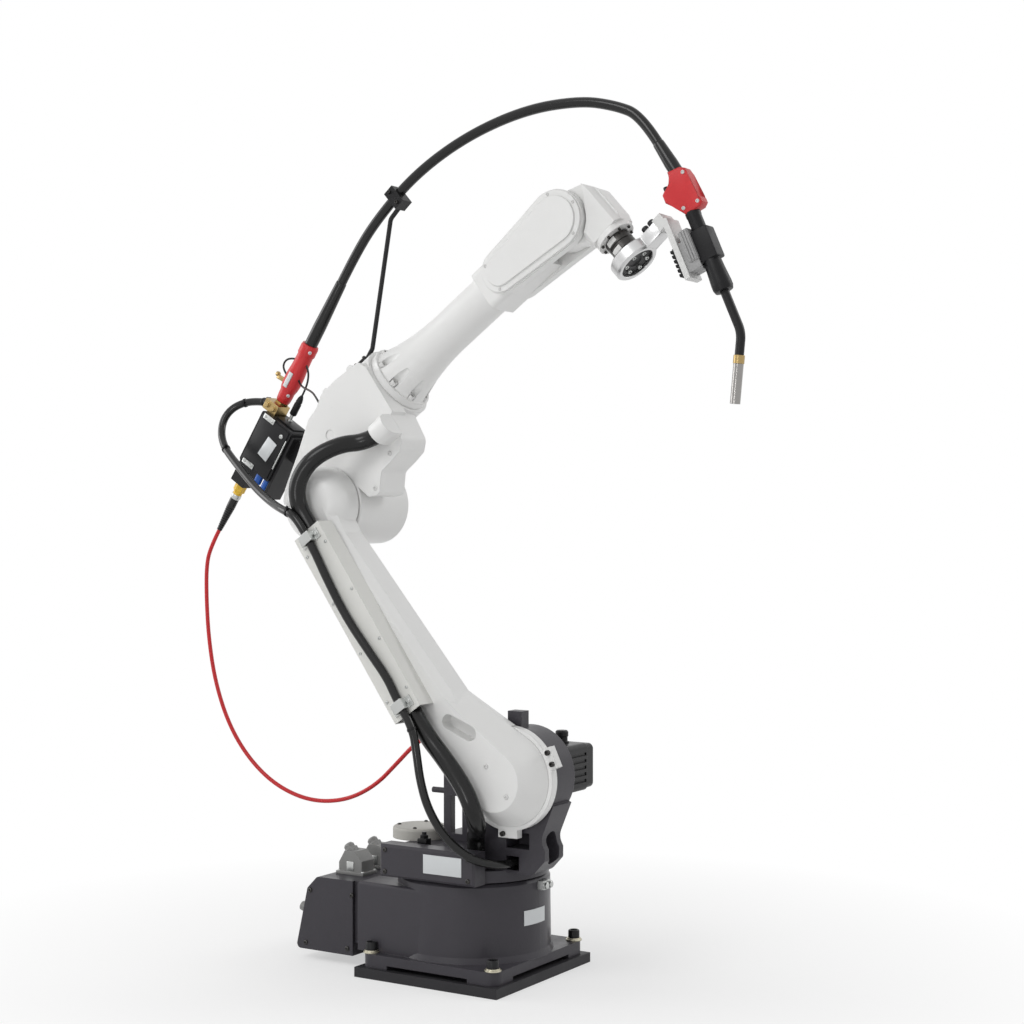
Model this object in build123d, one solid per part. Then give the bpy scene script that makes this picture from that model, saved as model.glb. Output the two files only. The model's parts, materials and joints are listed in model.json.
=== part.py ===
from build123d import *
import os
from math import cos, radians, sin, tan

# Driving dimensions in millimetres and degrees.
# The origin is on the turning axis of the base, at the underside of the floor plate.
# +X is the front, where the torch reaches, and +Z is up.

# Base
PLATE_X = 345
PLATE_Y = 367
PLATE_T = 20
FLANGE_INSET = 9
FLANGE_T = 28
FLANGE_CORNER = 24
RELIEF_H = 9
RELIEF_DEPTH = 42
RELIEF_PAD = 66
BOLT_X = 295
BOLT_Y = 315
BOLT_HOLE_R = 9
BARREL_R = 158
BARREL_FOOT_R = 166
BARREL_TOP = 205
REAR_BLOCK_X = 190
REAR_BLOCK_Y = 148
REAR_NECK_X = 226
REAR_BOX_Y = 118
REAR_BOX_X = 376
REAR_BOX_BOTTOM = 22
REAR_BOX_TOP = 178
REAR_BOX_SLOPE = 30
REAR_BOX_CANT = 26
REAR_BOX_ROUND = 10
BLOCK_ROUND = 8
BARREL_BEVEL = 6
REAR_BLOCK_TOP = 188
HOOD_X = 60
HOOD_Y = 44
HOOD_H = 50
HOOD_SPACING = 84
GLAND_R = 14
GLAND_L = 46
STOP_TURN = 3

# Turret
BEARING_GAP = 0.5
TURN_GAP = 3
TURN_BEARING_R = 118
DISC_R = 156
DISC_T = 24
SHOULDER_X = 150
SHOULDER_Z = 420
HOUSING_R = 99
HOUSING_NEAR = -84
HOUSING_FAR = -12
LEG_FRONT_X = 218
LEG_REAR_X = 40
FOOT_X = 222
DECK_T = 34
COVER_NEAR = -166
COVER_T = 42
COVER_X0 = -122
COVER_X1 = 108
COVER_H = 66
LID_X = -126
LID_Y = -14
LID_R = 58
LID_H = 24
MOTOR_FLANGE = 112
MOTOR_FLANGE_T = 40
MOTOR_BODY = 98
MOTOR_BODY_L = 98
MOTOR_CAP_L = 28
MOTOR_RIBS = 5
RIB_DEPTH = 5
STOP_LUG_H = 32
WINDOW_DEPTH = 50
EYE_UP = 48
EYE_H = 66
EYE_W = 40
EYE_DEPTH = 30
REAR_PLATE_RIM = 16
COVER_BEVEL = 5
LID_ROUND = 6

# Upper arm
ARM_LENGTH = 712
ARM_LEAN = 40.2
ARM_FAR = -92
ARM_NEAR = -165
ARM_FRONT = 30
ARM_REAR_LOW = 78
ARM_REAR_HIGH = 46
SHOULDER_BOWL_R = 96
BOWL_FACE_R = 60
SHOULDER_RING_R = 104
RING_T = 16
ELBOW_HUB_R = 80
ELBOW_HUB_ROUND = 42
ARM_FOOT = 20
ARM_WAIST = 195
ARM_NECK = 100
ARM_HEAD_FLARE = 20
ARM_BEVEL = 16
RING_ROOM = 1
POCKET_T = 6
POCKET_S = 128
POCKET_L = 84
POCKET_W = 30
POCKET_LEAN = 152
POCKET_DEPTH = 30
ELBOW_BEARING_R = 66
TRAY_W = 74
TRAY_T = 3
TRAY_DEPTH = 46
TRAY_S0 = 205
TRAY_S1 = 650
TRAY_TILT = 5
TRAY_MID_T = -28
CONDUIT_D = 34
POWER_CABLE_D = 17
CLAMP_W = 22

# Elbow and forearm
FOREARM_RISE = 36
FOREARM_OFFSET = 145
FOREARM_REACH = 764
ELBOW_NEAR = -88
ELBOW_FAR = 82
ELBOW_CASE_R = 84
CASE_TOP = 206
CASE_WALL_T = 50
GEAR_COVER_FAR = 0
ELBOW_EAR_R = 11
COLLAR_X = 200
COLLAR_L = 40
COLLAR_UP = 33
COLLAR_OUT = 24
COLLAR_WALL = 8
ROLL_FACE = 247
ROLL_BARREL_R = 82
ROLL_BARREL_L = 120
ROLL_FLANGE_R = 74
ROLL_FLANGE_T = 16
ROLL_BOLTS = 8
FLUTE_R = 9
FLUTE_L = 48
FLUTE_CENTRE_R = 63
TUBE_ROOT_R = 68
TUBE_END_R = 45
TUBE_FLARE = 150
FORK_BACK = 220
FORK_HALF_Y = 46
FORK_TOP = 45
FORK_LOW = 48
FORK_ROUND = 14
CHEEK_R = 62
CHEEK_REAR_R = 48
CHEEK_T = 20
SIDE_COVER_R = 60
SIDE_COVER_REAR_R = 43
SIDE_COVER_L = 158
SIDE_COVER_T = 6
PANEL_INSET = 12
PANEL_T = 4

# Wrist and tool
WRIST_DROP = 48
WRIST_HUB_R = 57
WRIST_ROOM = 12
HUB_SIDE_GAP = 2
WRIST_BEARING_R = 40
TOOL_OFFSET = 58
WRIST_NOSE = 94
WRIST_NOSE_HALF = 40
WRIST_NOSE_HALF_Y = 36
WRIST_BARREL_R = 47
WRIST_BACK = 20
CHEEK_ROOM = 3
WRIST_LIFT = 36
WRIST_RING_R = 41
WRIST_RING_T = 13
DRUM_R = 28
DRUM_L = 43
BRACKET_R = 48
BRACKET_T = 28
BRACKET_ARM_W = 40
BRACKET_ARM_END = 84
ANGLE_W = 52
ANGLE_T = 12
ANGLE_FOOT = 22
ANGLE_BACK = 50
ANGLE_L = 130
ANGLE_UP = -44
TORCH_TILT = 18.5
TORCH_AHEAD = 78.7
TORCH_RISE = 53
THROAT_L = 40
THROAT_R = 14
SHELL_L = 92
SHELL_R = 24
SHELL_BOOT_TILT = 10
SHELL_BOOT_L = 70
HOLDER_L = 130
HOLDER_R = 21
TORCH_CLAMP_X = 8
TORCH_CLAMP_L = 62
TORCH_CLAMP_W = 44
TORCH_NECK_R = 9
NECK_STRAIGHT = 72
NECK_BEND = 29
NECK_BEND_R = 60
NECK_AFTER = 28
NOZZLE_R = 10
NOZZLE_L = 77
NOZZLE_WALL = 2
NOZZLE_DEPTH = 40
TIP_R = 3.5
COLLAR_R = 11
BRASS_COLLAR_L = 16

# Feeder and torch cable
FEEDER_BACK = 122
FEEDER_UP = 244.7
FEEDER_TILT = 21
FEEDER_TOP = 83
FEEDER_L = 128
FEEDER_SEAT = -70
FEEDER_W = 98
FEEDER_NEAR = -42
FEEDER_T = 30
FEEDER_HEAD_L = 43
FEEDER_HEAD_T = 62
FEEDER_ROUND = 6
INLET_L = 53
INLET_W = 40
BRACKET_PLATE_T = 8
BRACKET_WEB_L = 50
BRACKET_WEB_W = 40
BRACKET_SINK = 70
FEEDER_MOTOR_R = 24
FEEDER_MOTOR_L = 40
WIRE_Z = 21
BLOCK_L = 24
BLOCK_W = 40
COUPLING_L = 4
COUPLING_R = 13
HANDLE_R = 19
HANDLE_TIP_R = 18
HANDLE_L = 146
BOOT_R = 14
BOOT_L = 156
TORCH_CABLE_D = 21
HOSE_Y = -14
HOSE_Z = 10
FITTING_R = 12
FITTING_L = 40
HOSE_BOOT_R = 9.5
HOSE_BOOT_L = 84
GAS_HOSE_D = 9
PLUG_X = 95
PLUG_Y = -18
PLUG_TILT = 27
PLUG_R = 10
PLUG_L = 16
CONTROL_L = 68
CONTROL_R = 8
AIR_R = 9
AIR_L = 24
ROD_R = 5
ROD_FOOT_X = 200
ROD_FOOT_L = 40
ROD_FOOT_W = 36
ROD_FOOT_H = 8
CLIP_AHEAD = 477
CLIP_UP = 467
CLIP_TILT = 5.2
CLIP_L = 26
CLIP_W = 34
CLIP_RUN = 64

# Frames of the links, worked out from the driving dimensions
SHOULDER = Vector(SHOULDER_X, 0, SHOULDER_Z)
ARM_DIR = Vector(-sin(radians(ARM_LEAN)), 0, cos(radians(ARM_LEAN)))
ELBOW = SHOULDER + ARM_DIR * ARM_LENGTH
ARM = Location(SHOULDER, (0, -ARM_LEAN, 0))
FOREARM = Location(ELBOW, (0, -FOREARM_RISE, 0))
WRIST_CENTRE = (FOREARM * Pos(FOREARM_REACH, 0, FOREARM_OFFSET)).position
WRIST = Location(WRIST_CENTRE, (0, WRIST_DROP, 0))
TOOL = WRIST * Pos(0, 0, TOOL_OFFSET)
DRUM_X0 = WRIST_NOSE + WRIST_RING_T + BEARING_GAP
BRACKET_X0 = DRUM_X0 + DRUM_L
TORCH = TOOL * Pos(BRACKET_X0 + TORCH_AHEAD, 0, BRACKET_ARM_END + TORCH_RISE) * Rot(0, TORCH_TILT, 0)
SHELL_BOOT = TORCH * Pos(-THROAT_L - SHELL_L, 0, 0) * Rot(0, -SHELL_BOOT_TILT, 0)
FEEDER = FOREARM * Pos(-FEEDER_BACK, 0, FEEDER_UP) * Rot(0, -FEEDER_TILT, 0)
CLIP = FOREARM * Pos(CLIP_AHEAD, 0, CLIP_UP) * Rot(0, -CLIP_TILT, 0)

parts = {}


def block(x_low, x_high, y_low, y_high, z_low, z_high):
    centre = Pos((x_low + x_high) / 2, (y_low + y_high) / 2, (z_low + z_high) / 2)
    return centre * Box(x_high - x_low, y_high - y_low, z_high - z_low)


def slab(profile, y_low, y_high):
    """Give an outline drawn in X and Z its thickness along Y."""
    return extrude(Plane.XZ.offset(-y_high) * profile, y_high - y_low, dir=(0, -1, 0))


def outline(*points):
    return Polygon(*points, align=None)


def rounded(*corners):
    """An outline of corners, each given as X, Z and its rounding."""
    return make_face(FilletPolyline(*[(x, z) for x, z, r in corners], radius=[r for x, z, r in corners], close=True))


def tapered_slot(x_front, r_front, x_rear, r_rear, z):
    """An outline round two circles of different size."""
    front, rear = Pos(x_front, z) * Circle(r_front), Pos(x_rear, z) * Circle(r_rear)
    return make_hull([*front.edges(), *rear.edges()])


def drum_x(radius, x_low, x_high, y=0, z=0):
    return Pos((x_low + x_high) / 2, y, z) * Rot(0, 90, 0) * Cylinder(radius, x_high - x_low)


def drum_y(radius, y_low, y_high, x=0, z=0):
    return Pos(x, (y_low + y_high) / 2, z) * Rot(90, 0, 0) * Cylinder(radius, y_high - y_low)


def drum_z(radius, z_low, z_high, x=0, y=0):
    return Pos(x, y, (z_low + z_high) / 2) * Cylinder(radius, z_high - z_low)


def cone_x(radius_low, radius_high, x_low, x_high, y=0, z=0):
    middle = Pos((x_low + x_high) / 2, y, z)
    return middle * Rot(0, 90, 0) * Cone(radius_low, radius_high, x_high - x_low)


def cone_y(radius_low, radius_high, y_low, y_high, x=0, z=0):
    middle = Pos(x, (y_low + y_high) / 2, z)
    return middle * Rot(-90, 0, 0) * Cone(radius_low, radius_high, y_high - y_low)


def place(frame, x, y, z):
    return (frame * Pos(x, y, z)).position


def halfway(points, index):
    return (Vector(points[index]) + Vector(points[index + 1])) / 2


def cord(name, points, diameter):
    """A tube of straight runs joined by arcs as large as the runs allow."""
    points = [Vector(p) for p in points]
    radii = []
    for before, here, after in zip(points, points[1:], points[2:]):
        run_in, run_out = here - before, after - here
        turn = run_in.get_angle(run_out)
        radii.append(0.45 * min(run_in.length, run_out.length) / tan(radians(turn / 2)))
    path = FilletPolyline(*points, radius=radii)
    section = Plane(path @ 0, z_dir=path % 0) * Circle(diameter / 2)
    print(name, "radii", [round(r) for r in radii], "length", round(path.length))
    return sweep(section, path)


def floor_plate():
    plate = block(-PLATE_X / 2, PLATE_X / 2, -PLATE_Y / 2, PLATE_Y / 2, 0, PLATE_T)
    return plate - anchor_holes(0, PLATE_T)


def anchor_holes(z_low, z_high):
    return [drum_z(BOLT_HOLE_R, z_low, z_high, x, y)
            for x in (-BOLT_X / 2, BOLT_X / 2) for y in (-BOLT_Y / 2, BOLT_Y / 2)]


def barrel():
    foot_z = PLATE_T + FLANGE_T
    return revolve(Plane.XZ * outline(
        (0, foot_z - 2), (BARREL_FOOT_R, foot_z - 2), (BARREL_R + 2, foot_z + 12),
        (BARREL_R, BARREL_TOP - BARREL_BEVEL), (BARREL_R - BARREL_BEVEL, BARREL_TOP), (0, BARREL_TOP)), Axis.Z)


def base_casting():
    flange_x = PLATE_X - 2 * FLANGE_INSET
    flange_y = PLATE_Y - 2 * FLANGE_INSET
    flange = Pos(0, 0, PLATE_T) * extrude(RectangleRounded(flange_x, flange_y, FLANGE_CORNER), FLANGE_T)
    for side in (-1, 1):
        flange -= Pos(0, side * (flange_y - RELIEF_DEPTH) / 2, PLATE_T + RELIEF_H / 2) * Box(
            flange_x - 2 * RELIEF_PAD, RELIEF_DEPTH, RELIEF_H)
        flange -= Pos(side * (flange_x - RELIEF_DEPTH) / 2, 0, PLATE_T + RELIEF_H / 2) * Box(
            RELIEF_DEPTH, flange_y - 2 * RELIEF_PAD, RELIEF_H)
    foot_z = PLATE_T + FLANGE_T
    rear_end = Pos(-REAR_BLOCK_X / 2, 0) * Rectangle(REAR_BLOCK_X, 2 * REAR_BLOCK_Y)
    rear = extrude(make_hull([*Circle(BARREL_R).edges(), *rear_end.edges()]), REAR_BLOCK_TOP - foot_z + 2)
    rear = Pos(0, 0, foot_z - 2) * fillet(rear.edges().group_by(Axis.Z)[-1], BLOCK_ROUND)
    neck = block(-REAR_NECK_X, -REAR_BLOCK_X, -REAR_BOX_Y + 8, REAR_BOX_Y - 8, foot_z, REAR_BOX_TOP)
    bearing = drum_z(TURN_BEARING_R, BARREL_TOP, BARREL_TOP + TURN_GAP - BEARING_GAP)
    return flange + barrel() + bearing + rear + neck - anchor_holes(PLATE_T, foot_z)


def rear_box():
    back = -REAR_BOX_X
    profile = rounded(
        (-REAR_NECK_X, REAR_BOX_BOTTOM, 0), (back, REAR_BOX_BOTTOM, REAR_BOX_ROUND),
        (back + REAR_BOX_SLOPE, REAR_BOX_TOP - REAR_BOX_CANT, REAR_BOX_ROUND),
        (back + REAR_BOX_SLOPE + REAR_BOX_CANT, REAR_BOX_TOP, REAR_BOX_ROUND), (-REAR_NECK_X, REAR_BOX_TOP, 0))
    return slab(profile, -REAR_BOX_Y, REAR_BOX_Y)


def connector_hoods():
    """Two heavy plugs on the rear box, each with its cranked hood."""
    x = -(REAR_BOX_X - REAR_BOX_SLOPE - REAR_BOX_CANT + REAR_NECK_X) / 2
    profile = outline(
        (x - HOOD_X / 2, REAR_BOX_TOP), (x + HOOD_X / 2, REAR_BOX_TOP),
        (x + HOOD_X / 2, REAR_BOX_TOP + 0.6 * HOOD_H), (x + 0.2 * HOOD_X, REAR_BOX_TOP + HOOD_H),
        (x - 0.25 * HOOD_X, REAR_BOX_TOP + HOOD_H), (x - HOOD_X / 2, REAR_BOX_TOP + 0.5 * HOOD_H))
    hoods = [slab(profile, side * HOOD_SPACING / 2 - HOOD_Y / 2, side * HOOD_SPACING / 2 + HOOD_Y / 2)
             for side in (-1, 1)]
    return Compound(children=hoods)


def rear_glands():
    """Two glands on the sloping back of the rear box."""
    height = REAR_BOX_TOP - REAR_BOX_CANT - REAR_BOX_BOTTOM
    slope = Vector(REAR_BOX_SLOPE, 0, height).normalized()
    middle = Vector(-REAR_BOX_X + REAR_BOX_SLOPE / 2, 0, REAR_BOX_BOTTOM + height / 2)
    glands = []
    for side in (-1, 1):
        seat = Plane(middle + Vector(0, side * REAR_BOX_Y / 2, 0), x_dir=slope, z_dir=(-slope.Z, 0, slope.X))
        profile = outline((0, 0), (GLAND_R + 4, 0), (GLAND_R + 4, 12), (GLAND_R, 14), (GLAND_R - 4, GLAND_L),
                          (0, GLAND_L))
        glands.append(seat * revolve(Plane.XZ * profile, Axis.Z))
    return Compound(children=glands)


def turn_stop():
    return Rot(0, 0, STOP_TURN) * block(BARREL_R - 2, BARREL_R + 14, -15, 15, BARREL_TOP - 22, BARREL_TOP - 4) - barrel()


DISC_BOTTOM = BARREL_TOP + TURN_GAP
DISC_TOP = DISC_BOTTOM + DISC_T
DECK_TOP = DISC_TOP + DECK_T


def turret_casting():
    disc = drum_z(DISC_R, DISC_BOTTOM, DISC_TOP)
    deck = block(COVER_X0 + 8, LEG_REAR_X + 30, COVER_NEAR + COVER_T, -COVER_NEAR - COVER_T, DISC_BOTTOM, DECK_TOP)
    housing = drum_y(HOUSING_R, HOUSING_NEAR, HOUSING_FAR, SHOULDER_X, SHOULDER_Z)
    leg = slab(rounded(
        (LEG_REAR_X, DISC_TOP - 4, 0), (LEG_FRONT_X - 24, DISC_TOP - 4, 24), (FOOT_X, DISC_TOP + 26, 8),
        (FOOT_X, DISC_TOP + 48, 8), (LEG_FRONT_X - 6, DISC_TOP + 66, 28),
        (SHOULDER_X + 0.92 * HOUSING_R, SHOULDER_Z - 52, 0), (SHOULDER_X, SHOULDER_Z, 0),
        (SHOULDER_X - 0.97 * HOUSING_R, SHOULDER_Z - 20, 0)), HOUSING_NEAR, HOUSING_FAR)
    stop = block(SHOULDER_X - 18, SHOULDER_X + 14, HOUSING_NEAR + 6, HOUSING_NEAR + 34,
                 SHOULDER_Z + HOUSING_R - 12, SHOULDER_Z + HOUSING_R + STOP_LUG_H)
    upper_window = block(SHOULDER_X - 18, SHOULDER_X + 36, HOUSING_NEAR, HOUSING_NEAR + WINDOW_DEPTH, DISC_TOP + 46,
                         DISC_TOP + 78)
    lower_window = block(SHOULDER_X - 18, SHOULDER_X + 12, HOUSING_NEAR, HOUSING_NEAR + WINDOW_DEPTH, DISC_TOP + 2,
                         DISC_TOP + 30)
    eye = Plane((FOOT_X, (HOUSING_NEAR + HOUSING_FAR) / 2, DISC_TOP + EYE_UP), x_dir=(0, 0, 1), z_dir=(-1, 0, 0))
    eye = eye * extrude(SlotOverall(EYE_H, EYE_W), EYE_DEPTH)
    return disc + deck + housing + leg + stop - upper_window - lower_window - eye - turret_side_cover()


def rear_plate():
    plate = slab(outline(
        (LEG_REAR_X, DECK_TOP), (-60, DECK_TOP), (-60, SHOULDER_Z + 4), (-46, SHOULDER_Z + 4),
        (-46, SHOULDER_Z - 36), (LEG_REAR_X - 10, SHOULDER_Z - 44), (LEG_REAR_X, SHOULDER_Z - 60)), -24, -8)
    window = block(-42, -14, -24, -8, DECK_TOP + REAR_PLATE_RIM, SHOULDER_Z - 44 - REAR_PLATE_RIM)
    pin = drum_x(6, -92, -60, -16, SHOULDER_Z - 52)
    return plate - window + pin


def turret_side_cover():
    cover = block(COVER_X0, COVER_X1, COVER_NEAR, COVER_NEAR + COVER_T, DISC_BOTTOM, DISC_BOTTOM + COVER_H)
    return chamfer(cover.edges().group_by(Axis.Y)[0], COVER_BEVEL)


def turn_motor_lid():
    lid = drum_z(LID_R, DECK_TOP, DECK_TOP + LID_H, LID_X, LID_Y)
    return fillet(lid.edges().group_by(Axis.Z)[-1], LID_ROUND)


def motor_prism(width, y_low, y_high):
    return slab(Pos(SHOULDER_X, SHOULDER_Z) * RectangleRounded(width, width, width / 8), y_low, y_high)


def shoulder_motor():
    body_start = HOUSING_FAR + MOTOR_FLANGE_T
    body_end = body_start + MOTOR_BODY_L
    flange = motor_prism(MOTOR_FLANGE, HOUSING_FAR, body_start)
    body = motor_prism(MOTOR_BODY, body_start, body_end)
    pitch = 0.7 * MOTOR_BODY / MOTOR_RIBS
    for index in range(MOTOR_RIBS):
        z = SHOULDER_Z + (index - (MOTOR_RIBS - 1) / 2) * pitch
        for side in (-1, 1):
            x = SHOULDER_X + side * MOTOR_BODY / 2
            body -= block(x - RIB_DEPTH, x + RIB_DEPTH, body_start, body_end, z - pitch / 4, z + pitch / 4)
    return flange + body


def shoulder_motor_cap():
    start = HOUSING_FAR + MOTOR_FLANGE_T + MOTOR_BODY_L
    return motor_prism(MOTOR_BODY - 6, start, start + MOTOR_CAP_L)


def arm_root(radius, inset):
    """The outline of the arm's root: round at the shoulder and as wide as the beam where they meet."""
    end = Line((-ARM_REAR_LOW + inset, ARM_WAIST), (ARM_FRONT - inset, ARM_WAIST))
    return make_hull([*Circle(radius).edges(), *end.edges()])


def upper_arm_casting():
    """A bevelled beam on a bowl-shaped root, with a round hub for the elbow."""
    beam = slab(outline(
        (-ARM_FRONT, ARM_FOOT), (0, ARM_FOOT), (ARM_FRONT, ARM_WAIST), (ARM_FRONT, ARM_LENGTH - ARM_NECK),
        (ARM_FRONT + ARM_HEAD_FLARE, ARM_LENGTH), (-ARM_REAR_HIGH, ARM_LENGTH),
        (-ARM_REAR_HIGH, ARM_LENGTH - ARM_NECK), (-ARM_REAR_LOW, ARM_WAIST)), ARM_NEAR, ARM_FAR)
    beam = chamfer(beam.edges().group_by(Axis.Y)[0], ARM_BEVEL)
    far = arm_root(SHOULDER_BOWL_R, 0)
    near = arm_root(BOWL_FACE_R, ARM_BEVEL)
    bowl = loft([Plane.XZ.offset(-ARM_NEAR) * near, Plane.XZ.offset(RING_T - ARM_FAR) * far], ruled=True)
    bowl += slab(far, ARM_FAR - RING_T, ARM_FAR)
    hub = drum_y(ELBOW_HUB_R, ARM_NEAR, ARM_FAR, 0, ARM_LENGTH)
    hub = fillet(hub.edges().group_by(Axis.Y)[0], ELBOW_HUB_ROUND)
    hub += drum_y(ELBOW_BEARING_R, ARM_FAR, ELBOW_NEAR - BEARING_GAP, 0, ARM_LENGTH)
    ring_room = drum_y(SHOULDER_RING_R + RING_ROOM, ARM_FAR - RING_T, ARM_FAR)
    pocket = slab(Pos(POCKET_T, POCKET_S) * Rot(0, 0, 90 - POCKET_LEAN) * SlotOverall(POCKET_L, POCKET_W),
                  ARM_NEAR, ARM_NEAR + POCKET_DEPTH)
    return ARM * (beam + bowl + hub - ring_room - pocket)


def shoulder_ring():
    ring = drum_y(SHOULDER_RING_R, ARM_FAR - RING_T, ARM_FAR + 3)
    ring += drum_y(SHOULDER_BOWL_R, ARM_FAR + 3, HOUSING_NEAR - BEARING_GAP)
    for angle in (-15, 230):
        lug = Rot(0, -angle, 0) * block(SHOULDER_RING_R - 10, SHOULDER_RING_R + 14, ARM_FAR - RING_T, ARM_FAR + 3,
                                        -22, 22)
        ring += lug
    return ARM * ring


TRAY = ARM * Pos(TRAY_MID_T, ARM_NEAR, (TRAY_S0 + TRAY_S1) / 2) * Rot(0, TRAY_TILT, 0)
TRAY_L = TRAY_S1 - TRAY_S0
CONDUIT_Y = -TRAY_DEPTH + TRAY_T + CONDUIT_D / 2 + 1
CONDUIT_TOP = TRAY_L / 2 - 60
CONDUIT_LOW = -TRAY_L / 2 + 10
CABLE_Y = -TRAY_DEPTH - POWER_CABLE_D / 2
CABLE_HALF = TRAY_L / 2 - 4


def cable_tray():
    """A folded sheet cover over the conduit that runs along the arm."""
    outer = block(-TRAY_W / 2, TRAY_W / 2, -TRAY_DEPTH, 0, -TRAY_L / 2, TRAY_L / 2)
    inner = block(-TRAY_W / 2 + TRAY_T, TRAY_W / 2 - TRAY_T, -TRAY_DEPTH + TRAY_T, 0, -TRAY_L / 2, TRAY_L / 2)
    return TRAY * (outer - inner)


def arm_conduit():
    return TRAY * drum_z(CONDUIT_D / 2, CONDUIT_LOW, CONDUIT_TOP, 0, CONDUIT_Y)


def tray_cable():
    return TRAY * drum_z(POWER_CABLE_D / 2, -CABLE_HALF, CABLE_HALF, 0, CABLE_Y)


def tray_clamps():
    clamps = []
    for s in (-TRAY_L / 2 + 20, TRAY_L / 2 - 20):
        height = POWER_CABLE_D + 3
        outer = block(-26, 26, -TRAY_DEPTH - 3, -TRAY_DEPTH, s - CLAMP_W / 2, s + CLAMP_W / 2)
        arch = block(-14, 14, -TRAY_DEPTH - height, -TRAY_DEPTH, s - CLAMP_W / 2, s + CLAMP_W / 2)
        bore = block(-POWER_CABLE_D / 2 - 0.3, POWER_CABLE_D / 2 + 0.3, -TRAY_DEPTH - POWER_CABLE_D - 0.3,
                     -TRAY_DEPTH, s - CLAMP_W / 2, s + CLAMP_W / 2)
        clamps.append(TRAY * (outer + arch - bore))
    return Compound(children=clamps)


COLLAR_SIDE = ELBOW_NEAR - COLLAR_OUT


def elbow_casting():
    """The casting that carries the forearm: a near wall, a body behind it, a gear cover and a round roll seat."""
    wall = slab(rounded(
        (-100, 78, 12), (-79, 99, 30), (-7, 139, 60), (61, 182, 20), (94, 189, 20), (119, CASE_TOP - 2, 16),
        (164, CASE_TOP, 30), (ROLL_FACE - 10, CASE_TOP - 7, 8), (ROLL_FACE, CASE_TOP - 28, 8), (ROLL_FACE, 60, 0),
        (0, 0, 0), (-ELBOW_CASE_R, 20, 0)), ELBOW_NEAR, ELBOW_NEAR + CASE_WALL_T)
    body = slab(rounded(
        (-ELBOW_CASE_R, 10, 0), (-72, 60, 30), (0, 106, 60), (130, 176, 30), (ROLL_FACE - 77, 185, 10),
        (ROLL_FACE - 77, 85, 10), (102, 18, 30), (40, -7, 0)), ELBOW_NEAR + CASE_WALL_T, ELBOW_FAR - 12)
    gear_cover = slab(rounded(
        (60, 60, 0), (93, -47, 8), (118, -59, 10), (151, -23, 12), (184, -21, 10), (214, -17, 14), (233, 0, 22),
        (240, 60, 10), (ROLL_FACE - 4, 120, 0)), ELBOW_NEAR, GEAR_COVER_FAR)
    seat = drum_x(ROLL_BARREL_R, ROLL_FACE - ROLL_BARREL_L, ROLL_FACE, 0, FOREARM_OFFSET)
    hub = drum_y(ELBOW_CASE_R, ELBOW_NEAR, ELBOW_FAR)
    collar_end = COLLAR_X + COLLAR_L
    collar_r = CONDUIT_D / 2 + COLLAR_WALL
    collar = drum_x(collar_r, COLLAR_X, collar_end, COLLAR_SIDE, COLLAR_UP)
    collar += block(COLLAR_X, collar_end, COLLAR_SIDE, ELBOW_NEAR, COLLAR_UP - collar_r, COLLAR_UP + collar_r)
    ears = [drum_y(ELBOW_EAR_R, ELBOW_NEAR + 8, ELBOW_NEAR + 36, x, CASE_TOP - 4) for x in (128, ROLL_FACE - 40)]
    mark = drum_y(ELBOW_EAR_R, ELBOW_NEAR, ELBOW_NEAR + 1.5, 88, 120)
    return FOREARM * (wall + body + gear_cover + seat + hub + collar + ears - mark)


def elbow_hub_cover():
    return FOREARM * drum_y(ELBOW_CASE_R - 8, ELBOW_FAR, ELBOW_FAR + 10)


def feeder_bracket():
    """A plate under the feeder with a foot, and a web down to the sloping back of the elbow casting."""
    low = FEEDER_TOP - FEEDER_L
    far = FEEDER_NEAR + FEEDER_HEAD_T
    under = FEEDER_SEAT - BRACKET_PLATE_T
    plate = block(low - 40, FEEDER_TOP - 10, FEEDER_NEAR + 4, far, under, FEEDER_SEAT)
    foot = block(low - 40, low - 2, far - 34, far, FEEDER_SEAT, FEEDER_SEAT + 24)
    web_end = (BRACKET_SINK - FEEDER_UP) / cos(radians(FEEDER_TILT))
    web = block(FEEDER_TOP - 14 - BRACKET_WEB_L, FEEDER_TOP - 14, far - BRACKET_WEB_W, far, web_end, under)
    return FEEDER * (plate + foot + web) - elbow_casting()


def feeder_motor():
    start = FEEDER_NEAR + FEEDER_T
    return FEEDER * drum_y(FEEDER_MOTOR_R, start, start + FEEDER_MOTOR_L, 0, FEEDER_SEAT + FEEDER_W / 2)


INLET_X0 = FEEDER_TOP - FEEDER_L - INLET_L


def hose_fitting():
    return FEEDER * drum_x(FITTING_R, INLET_X0 - FITTING_L, INLET_X0, HOSE_Y, HOSE_Z)


def hose_boot():
    start = INLET_X0 - FITTING_L
    return FEEDER * cone_x(GAS_HOSE_D / 2 + 1.5, HOSE_BOOT_R, start - HOSE_BOOT_L, start, HOSE_Y, HOSE_Z)


def air_connectors():
    low = FEEDER_TOP - FEEDER_L
    pair = [FEEDER * drum_x(AIR_R, low - AIR_L, low, FEEDER_NEAR + FEEDER_T / 2, FEEDER_SEAT + up) for up in (12, 36)]
    return Compound(children=pair)


def feeder_body():
    """The drive's case, deeper at its upper end, with the wire inlet below."""
    low = FEEDER_TOP - FEEDER_L
    back = FEEDER_SEAT + FEEDER_W
    case = block(low, FEEDER_TOP, FEEDER_NEAR, FEEDER_NEAR + FEEDER_T, FEEDER_SEAT, back)
    head = block(FEEDER_TOP - FEEDER_HEAD_L, FEEDER_TOP, FEEDER_NEAR, FEEDER_NEAR + FEEDER_HEAD_T, FEEDER_SEAT, back)
    inlet = block(low - INLET_L, low, HOSE_Y - INLET_W / 2, HOSE_Y + INLET_W / 2,
                  HOSE_Z - INLET_W / 2, HOSE_Z + INLET_W / 2)
    case = fillet((case + head).edges().filter_by(Axis.Y), FEEDER_ROUND)
    return FEEDER * (case + inlet)


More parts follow.
